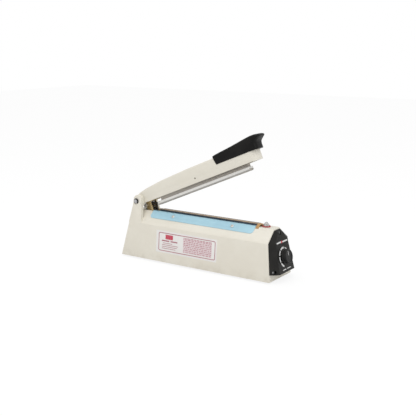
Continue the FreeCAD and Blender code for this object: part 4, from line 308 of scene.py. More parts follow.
def screws(name, node, places, material, length):
    """The screws of one node, each with its recess turned another way."""
    form = bmesh.new()
    for index, place in enumerate(places):
        pan_screw(form, place, length, 0.3 + 0.55 * index)
    bmesh.ops.recalc_face_normals(form, faces=form.faces)
    piece = add_piece(name, form, material, "base", node)
    return round_edges(piece, 0.08 * MM, 1, 50.0)


softened("bottom_cover", "bottom_plate", "base", sheet_steel, 0.3 * MM)
softened("feet", "rubber_feet", "base", black_rubber, 0.7 * MM)
boss_along, boss_across, plate_foot = 149.0 * MM, 32.5 * MM, 3.2 * MM
corner_seats = [
    place_along((along - housing_centre, across, plate_foot), (0, 0, -1), (1, 0, 0))
    for along in (-boss_along, boss_along)
    for across in (-boss_across, boss_across)
]
screws("bottom_cover_screws", "bottom_screws", corner_seats, plated_steel, 10.0 * MM)

# Control hood: a faceted cap of grained black plastic on the hood end, held by three screws,
# with a printed scale, a printed rule above and below it, and a small red mark.


def moulding(name, colour, shade, dust, grain=1500.0, depth=0.06 * MM, roughness=0.5, gloss=0.22):
    """Moulded plastic with a spark-eroded grain, with small pale specks of dust in it."""
    finish = Finish(name, Specular_IOR_Level=gloss)
    cloud = finish.noise(45.0, 4.0)
    cell = finish.node("ShaderNodeTexVoronoi", None, {"Vector": finish.place, "Scale": grain})
    fine = finish.noise(2.2 * grain, 2.0)
    tone = finish.mix(cloud.between(0.36, 0.66), colour, shade)
    specks = finish.noise(700.0, 3.0, 0.6).between(0.66, 0.76) * cloud.between(0.45, 0.6)
    tone = finish.mix(specks * 0.25, tone, dust)
    normal = finish.bump(cell * 0.7 + fine * 0.4, depth)
    rough = cloud * 0.16 + fine * 0.08 + (roughness - 0.12)
    return finish.done(Base_Color=tone, Roughness=rough, Normal=normal)


hood_dust = (0.13, 0.12, 0.11)
black_moulding = moulding("black_moulding", (0.0105, 0.010, 0.009), (0.0165, 0.0155, 0.0135), hood_dust)
softened("hood_cap", "control_hood", "base", black_moulding, 0.6 * MM, 18.0)
dark_plating = metal("dark_plating", (0.34, 0.34, 0.34), (0.22, 0.22, 0.22), even_grain, 0.40, stain=0.3)
hood_seats = [
    place_along((x * MM - housing_centre, y * MM, z * MM), (1, 0, 0))
    for x, y, z in ((154.6, 0.0, 80.5), (162.0, -30.6, 19.6), (162.0, 30.6, 19.6))
]
screws("hood_cap_screws", "hood_screws", hood_seats, dark_plating, 8.0 * MM)
face_foot, face_foot_height, face_setback, face_rise = 173.0 * MM, 15.4 * MM, 12.4 * MM, 52.2 * MM
face_lean = math.atan(face_setback / face_rise)
dial_height = 41.0 * MM
dial_centre = face_foot - (dial_height - face_foot_height) * math.tan(face_lean) - housing_centre
face_normal = (math.cos(face_lean), 0.0, math.sin(face_lean))
face_place = place_along((dial_centre, 0.0, dial_height), face_normal)


def ink(name, colour, shade):
    """Screen ink: nearly even, thin in places."""
    finish = Finish(name, Specular_IOR_Level=0.3)
    thin = finish.noise(600.0, 5.0, 0.6)
    tone = finish.mix(thin.between(0.45, 0.7), colour, shade)
    return finish.done(Base_Color=tone, Roughness=thin * 0.2 + 0.4)


white_ink = ink("white_ink", (0.80, 0.80, 0.79), (0.62, 0.62, 0.60))
red_ink = ink("red_ink", (0.55, 0.035, 0.06), (0.40, 0.05, 0.07))
PRINT = 0.06 * MM


def printed(form, place, outline):
    """A flat printed shape a hair above the surface, from its corners in millimetres, with its edge."""
    face = form.faces.new([form.verts.new((x * MM, y * MM, 0.0)) for x, y in outline])
    grown = bmesh.ops.extrude_face_region(form, geom=[face])["geom"]
    verts = [item for item in grown if isinstance(item, bmesh.types.BMVert)]
    bmesh.ops.translate(form, verts=verts, vec=(0.0, 0.0, PRINT))
    bmesh.ops.transform(form, matrix=place, verts=list(face.verts) + verts)


def bar_outline(x, y, width, height):
    """The corners of a plain bar from its lowest corner."""
    return [(x, y), (x + width, y), (x + width, y + height), (x, y + height)]


def arc_points(x, y, radius, degrees):
    """Points round a centre at the given angles."""
    turns = [math.radians(degree) for degree in degrees]
    return [(x + radius * math.cos(turn), y + radius * math.sin(turn)) for turn in turns]


def print_piece(name, form, material, body="base"):
    """Turn printed shapes into one flat-faced piece."""
    bmesh.ops.recalc_face_normals(form, faces=form.faces)
    add_piece(name, form, material, body, smooth=False)


form = bmesh.new()
scale_radius, scale_drop = 15.9, 0.7
wedges = ((-43, -20, 1.8), (-10, 32, 3.2), (39, 70, 3.0), (78, 112, 2.9), (120, 156, 2.9))
for first, last, thick in wedges:
    degrees = [first + (last - first) * step / 6.0 for step in range(7)]
    outer = arc_points(-scale_drop, 0.0, scale_radius + thick / 2, degrees)
    inner = arc_points(-scale_drop, 0.0, scale_radius - thick / 2, degrees[::-1])
    printed(form, face_place, outer + inner)
upper_rules = ((24.4, 2.6, 2.4, 14.6), (23.8, -18.6, 2.4, 16.6))
lower_rules = ((-21.8, -14.2, 1.4, 13.0), (-22.0, 2.4, 1.5, 10.6))
for rule in upper_rules + lower_rules:
    printed(form, face_place, bar_outline(*rule))
print_piece("hood_scale", form, white_ink)
form = bmesh.new()
printed(form, face_place, arc_points(25.2, 0.3, 2.3, range(0, 360, 20)))
print_piece("hood_mark", form, red_ink)

# Timer: potentiometer held in the hood's face by its nut, and the black fluted knob on its shaft,
# with a dished front and a white pointer line.


def turned(section, steps):
    """A shape turned about Z, from the radii and heights of its section in millimetres."""
    form = bmesh.new()
    verts = [form.verts.new((radius * MM, 0.0, height * MM)) for radius, height in section]
    edges = [form.edges.new(pair) for pair in zip(verts, verts[1:])]
    about_z = {"cent": (0, 0, 0), "axis": (0, 0, 1), "dvec": (0, 0, 0), "angle": 2 * math.pi}
    bmesh.ops.spin(form, geom=verts + edges, steps=steps, use_merge=True, **about_z)
    bmesh.ops.remove_doubles(form, verts=form.verts, dist=0.1 * MERGE)
    bmesh.ops.recalc_face_normals(form, faces=form.faces)
    return form


dial_dark = moulding(
    "knob_plastic", (0.012, 0.012, 0.012), (0.022, 0.021, 0.02), (0.1, 0.1, 0.1), 2600.0, 0.02 * MM, 0.36
)
dish, rim_radius, flute_depth, knob_steps = 8.6, 12.0, 0.5 * MM, 96
dished_front = [(0.0, dish), (9.4, dish), (10.4, 9.6), (11.3, 9.7), (11.9, 9.1)]
skirt = [(12.1, 3.0), (12.5, 2.6), (12.5, 0.6), (7.2, 0.6)]
form = turned(dished_front + skirt, knob_steps)
for vert in form.verts:
    radius = vert.co.xy.length
    step = round(math.degrees(math.atan2(vert.co.y, vert.co.x)) / (360.0 / knob_steps))
    if abs(radius - rim_radius * MM) < 0.2 * MM and step % 4 < 2:
        vert.co.xy *= 1.0 - flute_depth / radius
bmesh.ops.transform(form, matrix=face_place, verts=form.verts)
knob = add_piece("timer_knob", form, dial_dark, "dial", "timer_dial")
round_edges(knob, 0.2 * MM, 2, 35.0)
form = bmesh.new()
printed(form, face_place @ Matrix.Translation((0, 0, dish * MM)), bar_outline(1.4, -0.45, 7.6, 0.9))
print_piece("knob_pointer", form, white_ink, "dial")


def dress(material, *nodes):
    """Give CAD nodes that keep their own mesh a better material."""
    for node in nodes:
        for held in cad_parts[node].material_slots:
            held.material = material


def plain_moulding(name, colour, shade):
    """Small moulded parts out of sight: even plastic with slight clouding and a fine grain."""
    dust = tuple(0.5 * part + 0.1 for part in shade)
    return moulding(name, colour, shade, dust, 1800.0, 0.03 * MM, 0.42)


turned_steel = metal("turned_steel", (0.62, 0.62, 0.63), (0.48, 0.48, 0.50), (90.0, 900.0, 900.0), 0.28)
dress(turned_steel, "dial_shaft", "potentiometer_nut")
dress(plain_moulding("phenolic", (0.03, 0.024, 0.02), (0.05, 0.04, 0.032)), "timer_potentiometer")

# Indicator lamp: a red moulded flange on the deck, a clear cap with flat facets pressed into it
# over a small bulb, and the body with its nut under the deck.

red_flange = moulding(
    "red_flange", (0.50, 0.035, 0.04), (0.42, 0.03, 0.035), (0.5, 0.25, 0.22), depth=0.02 * MM, roughness=0.3
)
softened("lamp_collar", "lamp_flange", "base", red_flange, 0.45 * MM)
lamp_place = Matrix.Translation((131.0 * MM - housing_centre, 0.0, 89.6 * MM))
form = turned([(5.2, 0.0), (5.1, 1.4), (1.7, 6.3), (0.0, 6.6)], 12)
bmesh.ops.transform(form, matrix=lamp_place, verts=form.verts)
finish = Finish("clear_cap", IOR=1.45, Transmission_Weight=0.85)
haze = finish.noise(500.0, 3.0)
# Painted reflection: the cap's colour darkens towards faces seen edge on, which paints the dark outline a
# clear cap shows.
painted_dark_rim = finish.node("ShaderNodeLayerWeight", None, {"Blend": 0.5}, "Facing").between(0.30, 0.72)
clear = finish.mix(haze.between(0.4, 0.7), (0.95, 0.95, 0.95), (0.88, 0.89, 0.90))
clear_cap = finish.done(
    Base_Color=finish.mix(painted_dark_rim, clear, (0.06, 0.055, 0.05)),
    Roughness=haze * 0.12 + 0.03,
    Normal=finish.bump(haze, 0.02 * MM),
)
cap = add_piece("lamp_cap", form, clear_cap, "base", "lamp_lens", smooth=False)
wall = cap.modifiers.new("wall", "SOLIDIFY")
wall.thickness = 0.7 * MM
wall.offset = -1.0
round_edges(cap, 0.12 * MM, 2, 20.0)
form = turned([(0.0, 4.0), (0.9, 3.8), (1.5, 3.2), (1.7, 2.4), (1.7, 0.0)], 20)
bmesh.ops.transform(form, matrix=lamp_place, verts=form.verts)
finish = Finish("lamp_glow_tube", Specular_IOR_Level=0.5)
cloud = finish.noise(900.0, 3.0)
tone = finish.mix(cloud.between(0.4, 0.7), (0.72, 0.66, 0.60), (0.60, 0.52, 0.46))
tube_white = finish.done(Base_Color=tone, Roughness=cloud * 0.2 + 0.2)
add_piece("lamp_bulb", form, tube_white, "base")
dress(plain_moulding("lamp_moulding", (0.58, 0.56, 0.53), (0.50, 0.48, 0.45)), "lamp_body")

# Cable inlet: a moulded rubber grommet pressed into the rear wall at the hinge end. Its hole
# is open.

softened("inlet_grommet", "cable_grommet", "base", black_rubber, 0.5 * MM)

# Transformer on the bottom plate: a core of stacked steel laminations held down by a folded
# strap, with a wound and taped coil.

sheet_pitch, turn_pitch = 0.7 * MM, 1.1 * MM
finish = Finish("laminations", Metallic=0.8)
layer = finish.part("Y").ripple(sheet_pitch)
scale = finish.noise(160.0, 5.0)
tone = finish.mix(scale.between(0.38, 0.68), (0.20, 0.19, 0.19), (0.13, 0.10, 0.085))
normal = finish.bump(layer, 0.06 * MM)
dress(finish.done(Base_Color=tone, Roughness=scale * 0.3 + 0.35, Normal=normal), "transformer_core")
finish = Finish("taped_winding", Specular_IOR_Level=0.4)
turn = finish.part("Z").ripple(turn_pitch)
patch = finish.noise(120.0, 4.0)
tone = finish.mix(patch.between(0.4, 0.66), (0.62, 0.42, 0.10), (0.50, 0.32, 0.08))
normal = finish.bump(turn, 0.05 * MM)
dress(finish.done(Base_Color=tone, Roughness=patch * 0.25 + 0.3, Normal=normal), "transformer_winding")
dress(sheet_steel, "transformer_strap")
dress(plated_steel, "transformer_screws", "board_screws", "microswitch_screws")
dress(plated_steel, "seal_bar_screws", "grip_screws", "trip_screws")

# Timer board: green glass-fibre laminate screwed to brass standoffs, with its moulded
# black components.

finish = Finish("board_laminate", Specular_IOR_Level=0.5)
weave_pitch = 0.9 * MM
weave = finish.part("X").ripple(weave_pitch) * finish.part("Y").ripple(weave_pitch)
patch = finish.noise(220.0, 4.0)
tone = finish.mix(patch.between(0.40, 0.62), (0.035, 0.17, 0.06), (0.05, 0.22, 0.085))
normal = finish.bump(weave, 0.01 * MM)
dress(finish.done(Base_Color=tone, Roughness=patch * 0.2 + 0.25, Normal=normal), "timer_board")
turned_grain = (300.0, 300.0, 300.0)
brass = metal("plain_brass", (0.72, 0.52, 0.24), (0.52, 0.35, 0.14), turned_grain, 0.34, stain=0.5)
dress(brass, "board_standoffs")
black_plastic = plain_moulding("component_plastic", (0.02, 0.02, 0.024), (0.035, 0.034, 0.038))
dress(black_plastic, "timer_components", "microswitch_body", "switch_button", "pivot_spacers")

# Microswitch under the deck slot: a moulded body screwed to a bracket of folded steel, with a
# lever of spring brass over its button.

softened("switch_holder", "switch_bracket", "base", sheet_steel, 0.2 * MM)
spring_strip = metal("spring_strip", (0.66, 0.56, 0.34), (0.52, 0.43, 0.25), (60.0, 800.0, 800.0))
dress(spring_strip, "switch_lever")

# Sealing bar: a dark anodised bar on the deck, screwed down at its ends, with a strip of glass
# tape whose near-black colour is partly painted shade along the bar's edges, the flat heating
# wire between brass terminals, and the brown non-stick cloth over them, whose end is folded
# down over the slope.

finish = Finish("dark_anodising", Metallic=0.35)
line = finish.noise(1.0, 4.0, 0.6, finish.stretched((30.0, 900.0, 900.0), 0.0))
cloud = finish.noise(60.0, 4.0)
mottle = (line * 0.6 + cloud * 0.4).between(0.36, 0.64)
tone = finish.mix(mottle, (0.020, 0.036, 0.056), (0.040, 0.060, 0.085))
normal = finish.bump(line, 0.03 * MM)
bar_finish = finish.done(Base_Color=tone, Roughness=cloud * 0.2 + 0.3, Normal=normal)
softened("lower_bar", "sealing_bar", "base", bar_finish, 0.3 * MM)
finish = Finish("glass_tape", Specular_IOR_Level=0.4)
tape_pitch = 0.8 * MM
weave = finish.part("X").ripple(tape_pitch) * finish.part("Y").ripple(tape_pitch)
stain = finish.noise(90.0, 5.0)
# The tape is near black: partly its own colour, partly painted shade that widens the dark band along the
# bar's edges beside the cloth.
tone = finish.mix(stain.between(0.38, 0.66), (0.018, 0.024, 0.032), (0.035, 0.038, 0.042))
normal = finish.bump(weave, 0.03 * MM)
dress(finish.done(Base_Color=tone, Roughness=stain * 0.2 + 0.4, Normal=normal), "insulating_tape")
dark_brass = metal("aged_brass", (0.50, 0.36, 0.16), (0.30, 0.20, 0.09), turned_grain, 0.36, stain=0.7)
softened("wire_terminals", "element_terminals", "base", dark_brass, 0.25 * MM)
flat_wire = metal("flat_wire", (0.52, 0.50, 0.48), (0.36, 0.33, 0.31), (40.0, 900.0, 900.0), 0.35)
dress(flat_wire, "heating_element")
finish = Finish("coated_cloth", Sheen_Weight=0.1, Specular_IOR_Level=0.45)
thread_pitch = 0.75 * MM
thread = finish.part("X").ripple(thread_pitch) * finish.part("Y").ripple(thread_pitch)
stain = finish.noise(42.0, 5.0, 0.6)
scorch = finish.noise(30.0, 3.0).between(0.3, 0.62)
heat = finish.part("Y").size().between(3.6 * MM, 0.8 * MM) * scorch
end = finish.part("X").between(104.0 * MM, 109.0 * MM)
tone = finish.mix((stain * 0.8 + thread * 0.12).between(0.26, 0.62), (0.56, 0.42, 0.28), (0.42, 0.29, 0.18))
tone = finish.mix(heat * 0.3, tone, (0.36, 0.25, 0.16))
tone = finish.mix(end * 0.85, tone, (0.56, 0.30, 0.09))
normal = finish.bump(thread, 0.05 * MM)
cloth_finish = finish.done(Base_Color=tone, Roughness=stain * 0.2 + 0.34, Normal=normal)
form = bmesh.new()
cloth_start, cloth_end, cloth_half, cloth_height = -104.2, 114.8, 3.2, 91.52
flap_start, flap_end = 107.6, 114.4
bmesh.ops.create_grid(form, x_segments=220, y_segments=8, size=0.5)
for vert in form.verts:
    along = vert.co.x + 0.5
    fray = 0.12 * math.sin(along * 61.0) + 0.08 * math.sin(along * 149.0 + 1.0)
    ripple = 0.05 * math.sin(along * 47.0) * math.sin(along * 13.0 + 0.7)
    vert.co.x = (cloth_start + (cloth_end - cloth_start) * along) * MM
    vert.co.y *= (2.0 * cloth_half + fray) * MM
    vert.co.z = (cloth_height + ripple) * MM
rim = [
    edge
    for edge in form.edges
    if edge.is_boundary
    and all(vert.co.y < -2.8 * MM and flap_start * MM < vert.co.x < flap_end * MM for vert in edge.verts)
]
slope = math.radians(41.88)
fold_across, fold_height, flap_reach = 11.0, 88.35, 3.9
flap_tip = (fold_across + flap_reach * math.cos(slope), fold_height - flap_reach * math.sin(slope))
for across, height in ((7.4, 91.3), (9.4, 90.2), (fold_across, 88.75), (12.6, 87.3), flap_tip):
    verts, rim = grow(form, rim)
    for vert in verts:
        vert.co.y = -across * MM
        vert.co.z = height * MM
bmesh.ops.recalc_face_normals(form, faces=form.faces)
if sum(face.normal.z for face in form.faces) < 0:
    bmesh.ops.reverse_faces(form, faces=form.faces)
cloth = add_piece("seal_cloth", form, cloth_finish, "base", "ptfe_cloth")
thickness = cloth.modifiers.new("thickness", "SOLIDIFY")
thickness.thickness = 0.2 * MM
thickness.offset = 0.0

# Cover plates: folded steel sheet in light blue enamel on the slopes beside the sealing bar.
# Each is held by two bright pan-head screws.

blue_enamel = enamel("blue_enamel", (0.43, 0.68, 0.79), (0.39, 0.63, 0.75), (0.34, 0.40, 0.41))
softened("front_cover", "front_cover_plate", "base", blue_enamel, 0.3 * MM)
softened("rear_cover", "rear_cover_plate", "base", blue_enamel, 0.3 * MM)
deck_half, deck_height, slope_reach, plate_rise = 11.0 * MM, 88.0 * MM, 7.0 * MM, 1.1 * MM
cover_seats = []
for along in (-53.5 * MM, 73.2 * MM):
    for side in (-1.0, 1.0):
        normal = (0.0, side * math.sin(slope), math.cos(slope))
        across = side * (deck_half + slope_reach * math.cos(slope) + plate_rise * math.sin(slope))
        height = deck_height - slope_reach * math.sin(slope) + plate_rise * math.cos(slope)
        cover_seats.append(place_along((along - housing_centre, across, height), normal, (1, 0, 0)))
fine_grain = (400.0, 400.0, 400.0)
bright_plating = metal("bright_plating", (0.86, 0.84, 0.80), (0.74, 0.72, 0.68), fine_grain, 0.46)
screws("cover_screws", "cover_plate_screws", cover_seats, bright_plating, 6.0 * MM)

# Front label: a glossy white film stuck on the long front wall, with a thin border, a plain
# block, plain rules and a tinted panel of dashes screen-printed in faded red.

finish = Finish("label_film", Coat_Roughness=0.08)
ripple = finish.noise(35.0, 3.0)
fleck = finish.noise(500.0, 4.0).between(0.66, 0.8)
paper = finish.mix(ripple.between(0.4, 0.7), (0.86, 0.845, 0.82), (0.82, 0.80, 0.775))
gloss = finish.done(
    Base_Color=finish.mix(fleck * 0.2, paper, (0.55, 0.52, 0.48)),
    Roughness=ripple * 0.14 + 0.16,
    Normal=finish.bump(ripple, 0.1 * MM),
    Coat_Weight=ripple * 0.3 + 0.1,
)
sheet = softened("label_sheet", "front_label", "base", gloss, 0.06 * MM)
label_middle = -10.9 * MM - housing_centre
film_reach = 3.0 * MM
for vert in sheet.data.vertices:
    if vert.co.x < label_middle:
        vert.co.x -= film_reach
faded_red = ink("faded_red_ink", (0.40, 0.13, 0.17), (0.52, 0.26, 0.29))
tint = ink("tint_ink", (0.76, 0.64, 0.65), (0.80, 0.72, 0.73))
wall_setback, wall_rise, foot_half, foot_height = 5.25 * MM, 64.6 * MM, 39.0 * MM, 3.0 * MM
wall_rate = wall_setback / wall_rise
wall_normal = Vector((0.0, -1.0, wall_rate)).normalized()
label_height, film_rise = 40.55 * MM, 0.27 * MM
label_spot = Vector((label_middle, wall_rate * (label_height - foot_height) - foot_half, label_height))
label_place = place_along(label_spot + wall_normal * film_rise, wall_normal)
border_shift = 0.2


def frame_outline(width, height, corner):
    """A rectangle with rounded corners, each in five points."""
    up, along = height / 2 - corner, width / 2 - corner
    points = []
    for x, y, first in ((up, along, 0), (-up, along, 90), (-up, -along, 180), (up, -along, 270)):
        points += arc_points(x, y + border_shift, corner, [first + 22.5 * step for step in range(5)])
    return points


form = bmesh.new()
rim = []
for width, height, corner in ((123.4, 33.8, 3.0), (120.8, 31.2, 1.7)):
    verts = [form.verts.new((x * MM, y * MM, 0.0)) for x, y in frame_outline(width, height, corner)]
    rim += [form.edges.new(pair) for pair in zip(verts, verts[1:] + verts[:1])]
bmesh.ops.bridge_loops(form, edges=rim)
grown = bmesh.ops.extrude_face_region(form, geom=form.faces[:])["geom"]
raised = [item for item in grown if isinstance(item, bmesh.types.BMVert)]
bmesh.ops.translate(form, verts=raised, vec=(0.0, 0.0, PRINT))
bmesh.ops.transform(form, matrix=label_place, verts=form.verts)
heading = [(1.2, 38.0, 2.2, 16.6), (1.2, 20.0, 2.2, 15.0)]
thin_rules = [(-2.4, 31.0, 0.9, 21.0), (-5.6, 18.0, 0.9, 36.0)]
thin_rules += [(-8.8, 20.0, 0.9, 34.0), (-12.0, 24.0, 0.9, 30.0)]
for rule in heading + thin_rules:
    printed(form, label_place, bar_outline(*rule))
print_piece("label_rules", form, faded_red)
form = bmesh.new()
printed(form, label_place, bar_outline(5.4, 30.0, 8.4, 16.6))
label_red = ink("label_red_ink", (0.56, 0.06, 0.10), (0.62, 0.16, 0.20))
print_piece("label_block", form, label_red)
form = bmesh.new()
printed(form, label_place, bar_outline(-13.6, -54.0, 27.4, 61.0))
print_piece("label_tint", form, tint)
form = bmesh.new()
random.seed(5)
over_tint = label_place @ Matrix.Translation((0.0, 0.0, PRINT))
row_start, row_end, dash_height, shortest = -53.4, 6.4, 1.3, 1.5
for row in (-12.6, -9.4, -6.2, -3.0, 0.2, 3.4, 6.6, 9.8, 12.2):
    start = row_start
    while start < row_end - shortest:
        dash = min(random.uniform(1.8, 6.0), row_end - start)
        printed(form, over_tint, bar_outline(row, start, dash_height, dash))
        start += dash + random.uniform(0.9, 2.2)
pale_red = ink("pale_red_ink", (0.50, 0.22, 0.26), (0.62, 0.38, 0.41))
print_piece("label_dashes", form, pale_red)

# Hinge: a plain steel pin across the two ears, a dark spring ring on each of its ends, and the
# coil spring that lifts the arm, which stands on its seat under the deck slot.

pin_grain = (900.0, 60.0, 900.0)
dress(metal("ground_steel", (0.60, 0.60, 0.61), (0.46, 0.46, 0.48), pin_grain, 0.26), "hinge_pin")
dress(metal("dull_pin_steel", (0.24, 0.22, 0.17), (0.15, 0.14, 0.10), pin_grain, 0.42), "pivot_pin")
blackened = metal("blackened_steel", (0.10, 0.095, 0.09), (0.055, 0.052, 0.05), fine_grain, 0.38, stain=0.3)
softened("spring_rings", "retaining_rings", "base", blackened, 0.25 * MM)
lift_spring = add_piece(
    "lift_spring", merged("return_spring"), blackened, "base", "return_spring"
)
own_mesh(lift_spring)

# Press arm: a long hollow enamelled cover with a bulging top, closed at the hinge, and with a
# rounded nose under the grip.

hinge_x, hinge_height = -133.2 * MM - housing_centre, 105.3 * MM
arm_lean = math.radians(23.04)
hinge_place = Matrix.Translation((hinge_x, 0.0, hinge_height)) @ Matrix.Rotation(-arm_lean, 4, "Y")
softened("arm_cover", "arm_shell", "arm", cream_enamel, 0.5 * MM)

# Grip: a black moulding on the arm's nose with a crowned top and a lip that overhangs the nose,
# softly rounded at its sides and its tip, and held from below by two screws.

grip_dark, grip_worn, grip_dust = (0.0062, 0.006, 0.0055), (0.011, 0.0105, 0.0095), (0.12, 0.115, 0.105)
grip_black = moulding("grip_moulding", grip_dark, grip_worn, grip_dust, 1300.0, 0.05 * MM, 0.34, 0.16)
form = bmesh.new()
top = [(187.0, 24.6), (187.6, 25.3), (191.7, 26.3), (204.0, 27.6), (216.6, 28.5), (229.0, 29.6)]
top += [(241.0, 30.9), (253.0, 32.3), (262.0, 33.2), (270.0, 33.7), (277.0, 33.6), (281.5, 32.9)]
top += [(284.6, 31.8), (286.4, 30.6)]
low = [(287.0, 29.4), (286.6, 28.2), (285.0, 26.9), (283.0, 25.4), (280.0, 23.2), (277.8, 21.4)]
low += [(276.8, 19.2), (276.4, 16.6), (276.4, 13.0), (276.4, 9.2), (240.0, 9.2), (189.7, 9.2), (188.4, 16.0)]
side = form.faces.new([form.verts.new((u * MM, 0.0, v * MM)) for u, v in top + low])
outline = [(vert.co.x, vert.co.z) for vert in side.verts]
loop = list(side.edges)
bmesh.ops.delete(form, geom=[side], context="FACES_ONLY")
half_width, top_round, tip_round = 14.5 * MM, 5.0 * MM, 9.0 * MM
crown_start, crown_run, tip_start, tip_run = 24.0 * MM, 8.0 * MM, 262.0 * MM, 20.0 * MM
for station in (6.0, 8.5, 10.2, 11.7, 12.9, 13.7, 14.2, 14.5):
    ring, loop = grow(form, loop)
    across = station * MM
    side_in = max(0.0, across - (half_width - top_round))
    tip_in = max(0.0, across - (half_width - tip_round))
    drop = top_round - math.sqrt(max(0.0, top_round**2 - side_in**2))
    pull = tip_round - math.sqrt(max(0.0, tip_round**2 - tip_in**2))
    for vert in ring:
        u, v = min(outline, key=lambda spot: abs(spot[0] - vert.co.x) + abs(spot[1] - vert.co.z))
        above = min(1.0, max(0.0, (v - crown_start) / crown_run))
        beyond = min(1.0, max(0.0, (u - tip_start) / tip_run))
        vert.co = Vector((u - pull * beyond, -across, v - drop * above))
bmesh.ops.contextual_create(form, geom=loop)
bmesh.ops.mirror(form, geom=form.verts[:] + form.edges[:] + form.faces[:], axis="Y", merge_dist=MERGE)
bmesh.ops.remove_doubles(form, verts=form.verts, dist=MERGE)
bmesh.ops.recalc_face_normals(form, faces=form.faces)
bmesh.ops.transform(form, matrix=hinge_place, verts=form.verts)
grip = add_piece("arm_grip", form, grip_black, "arm", "handle_grip")
round_edges(grip, 0.5 * MM, 3, 32.0)

# Trip bracket: folded steel in yellow zinc, screwed under the arm near the hinge, with the
# plated pin across it that works the microswitch.

zinc_grain = (40.0, 500.0, 500.0)
yellow_zinc = metal("yellow_zinc", (0.54, 0.43, 0.24), (0.38, 0.28, 0.14), zinc_grain, 0.28, 0.4, 0.4)
softened("trip_lever", "trip_bracket", "arm", yellow_zinc, 0.2 * MM)
softened("trip_crossbar", "trip_pin", "arm", plated_steel, 0.4 * MM)

# Press bar: an extruded aluminium channel and rail that rock on a pin through the arm, with a
# strip of grey silicone in the channel.

finish = Finish("drawn_aluminium", Metallic=0.7)
streak = finish.noise(1.0, 4.0, 0.6, finish.stretched((10.0, 500.0, 1400.0), -arm_lean))
cloud = finish.noise(30.0, 3.0)
across = finish.part("Z") * math.cos(arm_lean) + finish.part("X") * -math.sin(arm_lean)
hinge_level = hinge_height * math.cos(arm_lean) - hinge_x * math.sin(arm_lean)
# Painted shade: the rail just under the arm is painted darker, and so is a narrow band along the channel's
# lower edge.
painted_rail_shade = across.between(hinge_level - 14.4 * MM, hinge_level - 13.4 * MM)
painted_foot_shade = across.between(hinge_level - 17.6 * MM, hinge_level - 18.8 * MM)
tone = finish.mix((streak * 0.7 + cloud * 0.3).between(0.34, 0.66), (0.90, 0.885, 0.85), (0.80, 0.785, 0.75))
tone = finish.mix(painted_rail_shade, tone, (0.50, 0.465, 0.42))
tone = finish.mix(painted_foot_shade, tone, (0.44, 0.43, 0.41))
drawn_aluminium = finish.done(
    Base_Color=tone, Roughness=streak * 0.12 + cloud * 0.08 + 0.34, Normal=finish.bump(streak, 0.02 * MM)
)
softened("upper_bar", "press_bar", "bar", drawn_aluminium, 0.35 * MM)
finish = Finish("silicone_pad", Specular_IOR_Level=0.35)
cloud = finish.noise(60.0, 4.0)
pore = finish.noise(700.0, 3.0)
tone = finish.mix((cloud * 0.6 + pore * 0.4).between(0.36, 0.64), (0.50, 0.47, 0.42), (0.38, 0.35, 0.31))
silicone = finish.done(Base_Color=tone, Roughness=cloud * 0.15 + 0.5, Normal=finish.bump(pore, 0.04 * MM))
softened("press_pad", "silicone_strip", "bar", silicone, 0.3 * MM)

# Studio: a white floor under a soft overhead light, with a weaker one from the hood's side.
# The floor and the sky show white, and the floor keeps the sealer's shadow.

camera_data = bpy.data.cameras.new("camera")
camera_data.lens = 66.31
camera_data.sensor_width = 36.0
camera = bpy.data.objects.new("camera", camera_data)
bpy.context.scene.collection.objects.link(camera)
azimuth = math.radians(33.99)
elevation = math.radians(12.44)
level = Vector((math.sin(azimuth), -math.cos(azimuth), 0.0))
back = level * math.cos(elevation) + Vector((0.0, 0.0, math.sin(elevation)))
right = Vector((math.cos(azimuth), math.sin(azimuth), 0.0))
up = back.cross(right)
aim_height, aim_right, aim_up, camera_distance = 60.0 * MM, 9.234 * MM, 43.13 * MM, 1380.4 * MM
target = Vector((-housing_centre, 0.0, aim_height)) + right * aim_right + up * aim_up
camera_turn = Matrix((right, up, back)).transposed().to_4x4()
camera.matrix_world = Matrix.Translation(target + back * camera_distance) @ camera_turn
bpy.context.scene.camera = camera
bpy.context.scene.view_settings.view_transform = "Standard"

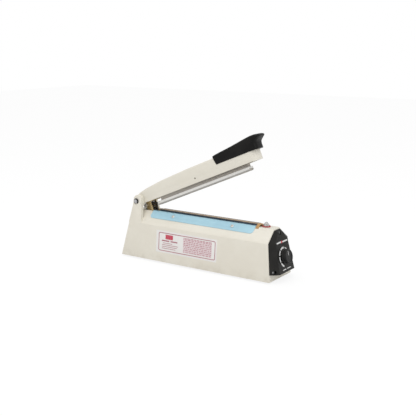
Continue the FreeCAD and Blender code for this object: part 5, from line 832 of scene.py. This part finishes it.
finish = Finish("studio_floor", Roughness=0.7)
paper = finish.noise(3.0)
paper_shader = finish.done(Base_Color=finish.mix(paper, (0.93, 0.93, 0.93), (0.91, 0.91, 0.91)))
glow = finish.node("ShaderNodeEmission", None, {"Color": (1.0, 1.0, 1.0), "Strength": 1.04})
seen = finish.node("ShaderNodeLightPath", out="Is Camera Ray")
shaded = Flow(finish, finish.shader.outputs[0])
blend = finish.node("ShaderNodeMixShader", None, {0: seen * 0.82, 1: shaded, 2: glow})
finish.feed(finish.tree.nodes["Material Output"].inputs["Surface"], blend)
form = bmesh.new()
bmesh.ops.create_grid(form, x_segments=1, y_segments=1, size=4.0)
floor_mesh = bpy.data.meshes.new("studio_floor")
form.to_mesh(floor_mesh)
form.free()
floor = bpy.data.objects.new("studio_floor", floor_mesh)
bpy.context.scene.collection.objects.link(floor)
floor_mesh.materials.append(paper_shader)

world = bpy.data.worlds.new("studio")
bpy.context.scene.world = world
world.use_nodes = True
sky = world.node_tree
path = sky.nodes.new("ShaderNodeLightPath")
seen = sky.nodes.new("ShaderNodeMath")
seen.operation = "MAXIMUM"
sky.links.new(path.outputs["Is Camera Ray"], seen.inputs[0])
sky.links.new(path.outputs["Is Transmission Ray"], seen.inputs[1])
strength = sky.nodes.new("ShaderNodeMapRange")
strength.inputs["To Min"].default_value = 0.745
strength.inputs["To Max"].default_value = 1.0
sky.links.new(seen.outputs[0], strength.inputs["Value"])
sky.links.new(strength.outputs[0], sky.nodes["Background"].inputs["Strength"])
sky.nodes["Background"].inputs["Color"].default_value = (1.0, 1.0, 1.0, 1.0)

for name, spot, aim, width, power in (
    ("overhead", (0.1, -0.5, 1.9), (0.0, 0.0, 0.1), 1.6, 10.4),
    ("hood_side", (1.7, -0.5, 0.7), (0.1, 0.0, 0.1), 0.9, 2.4),
):
    lamp_data = bpy.data.lights.new(name, "AREA")
    lamp_data.shape = "DISK"
    lamp_data.size = width
    lamp_data.energy = power
    lamp = bpy.data.objects.new(name, lamp_data)
    bpy.context.scene.collection.objects.link(lamp)
    aimed = (Vector(aim) - Vector(spot)).to_track_quat("-Z", "Y").to_matrix().to_4x4()
    lamp.matrix_world = Matrix.Translation(spot) @ aimed
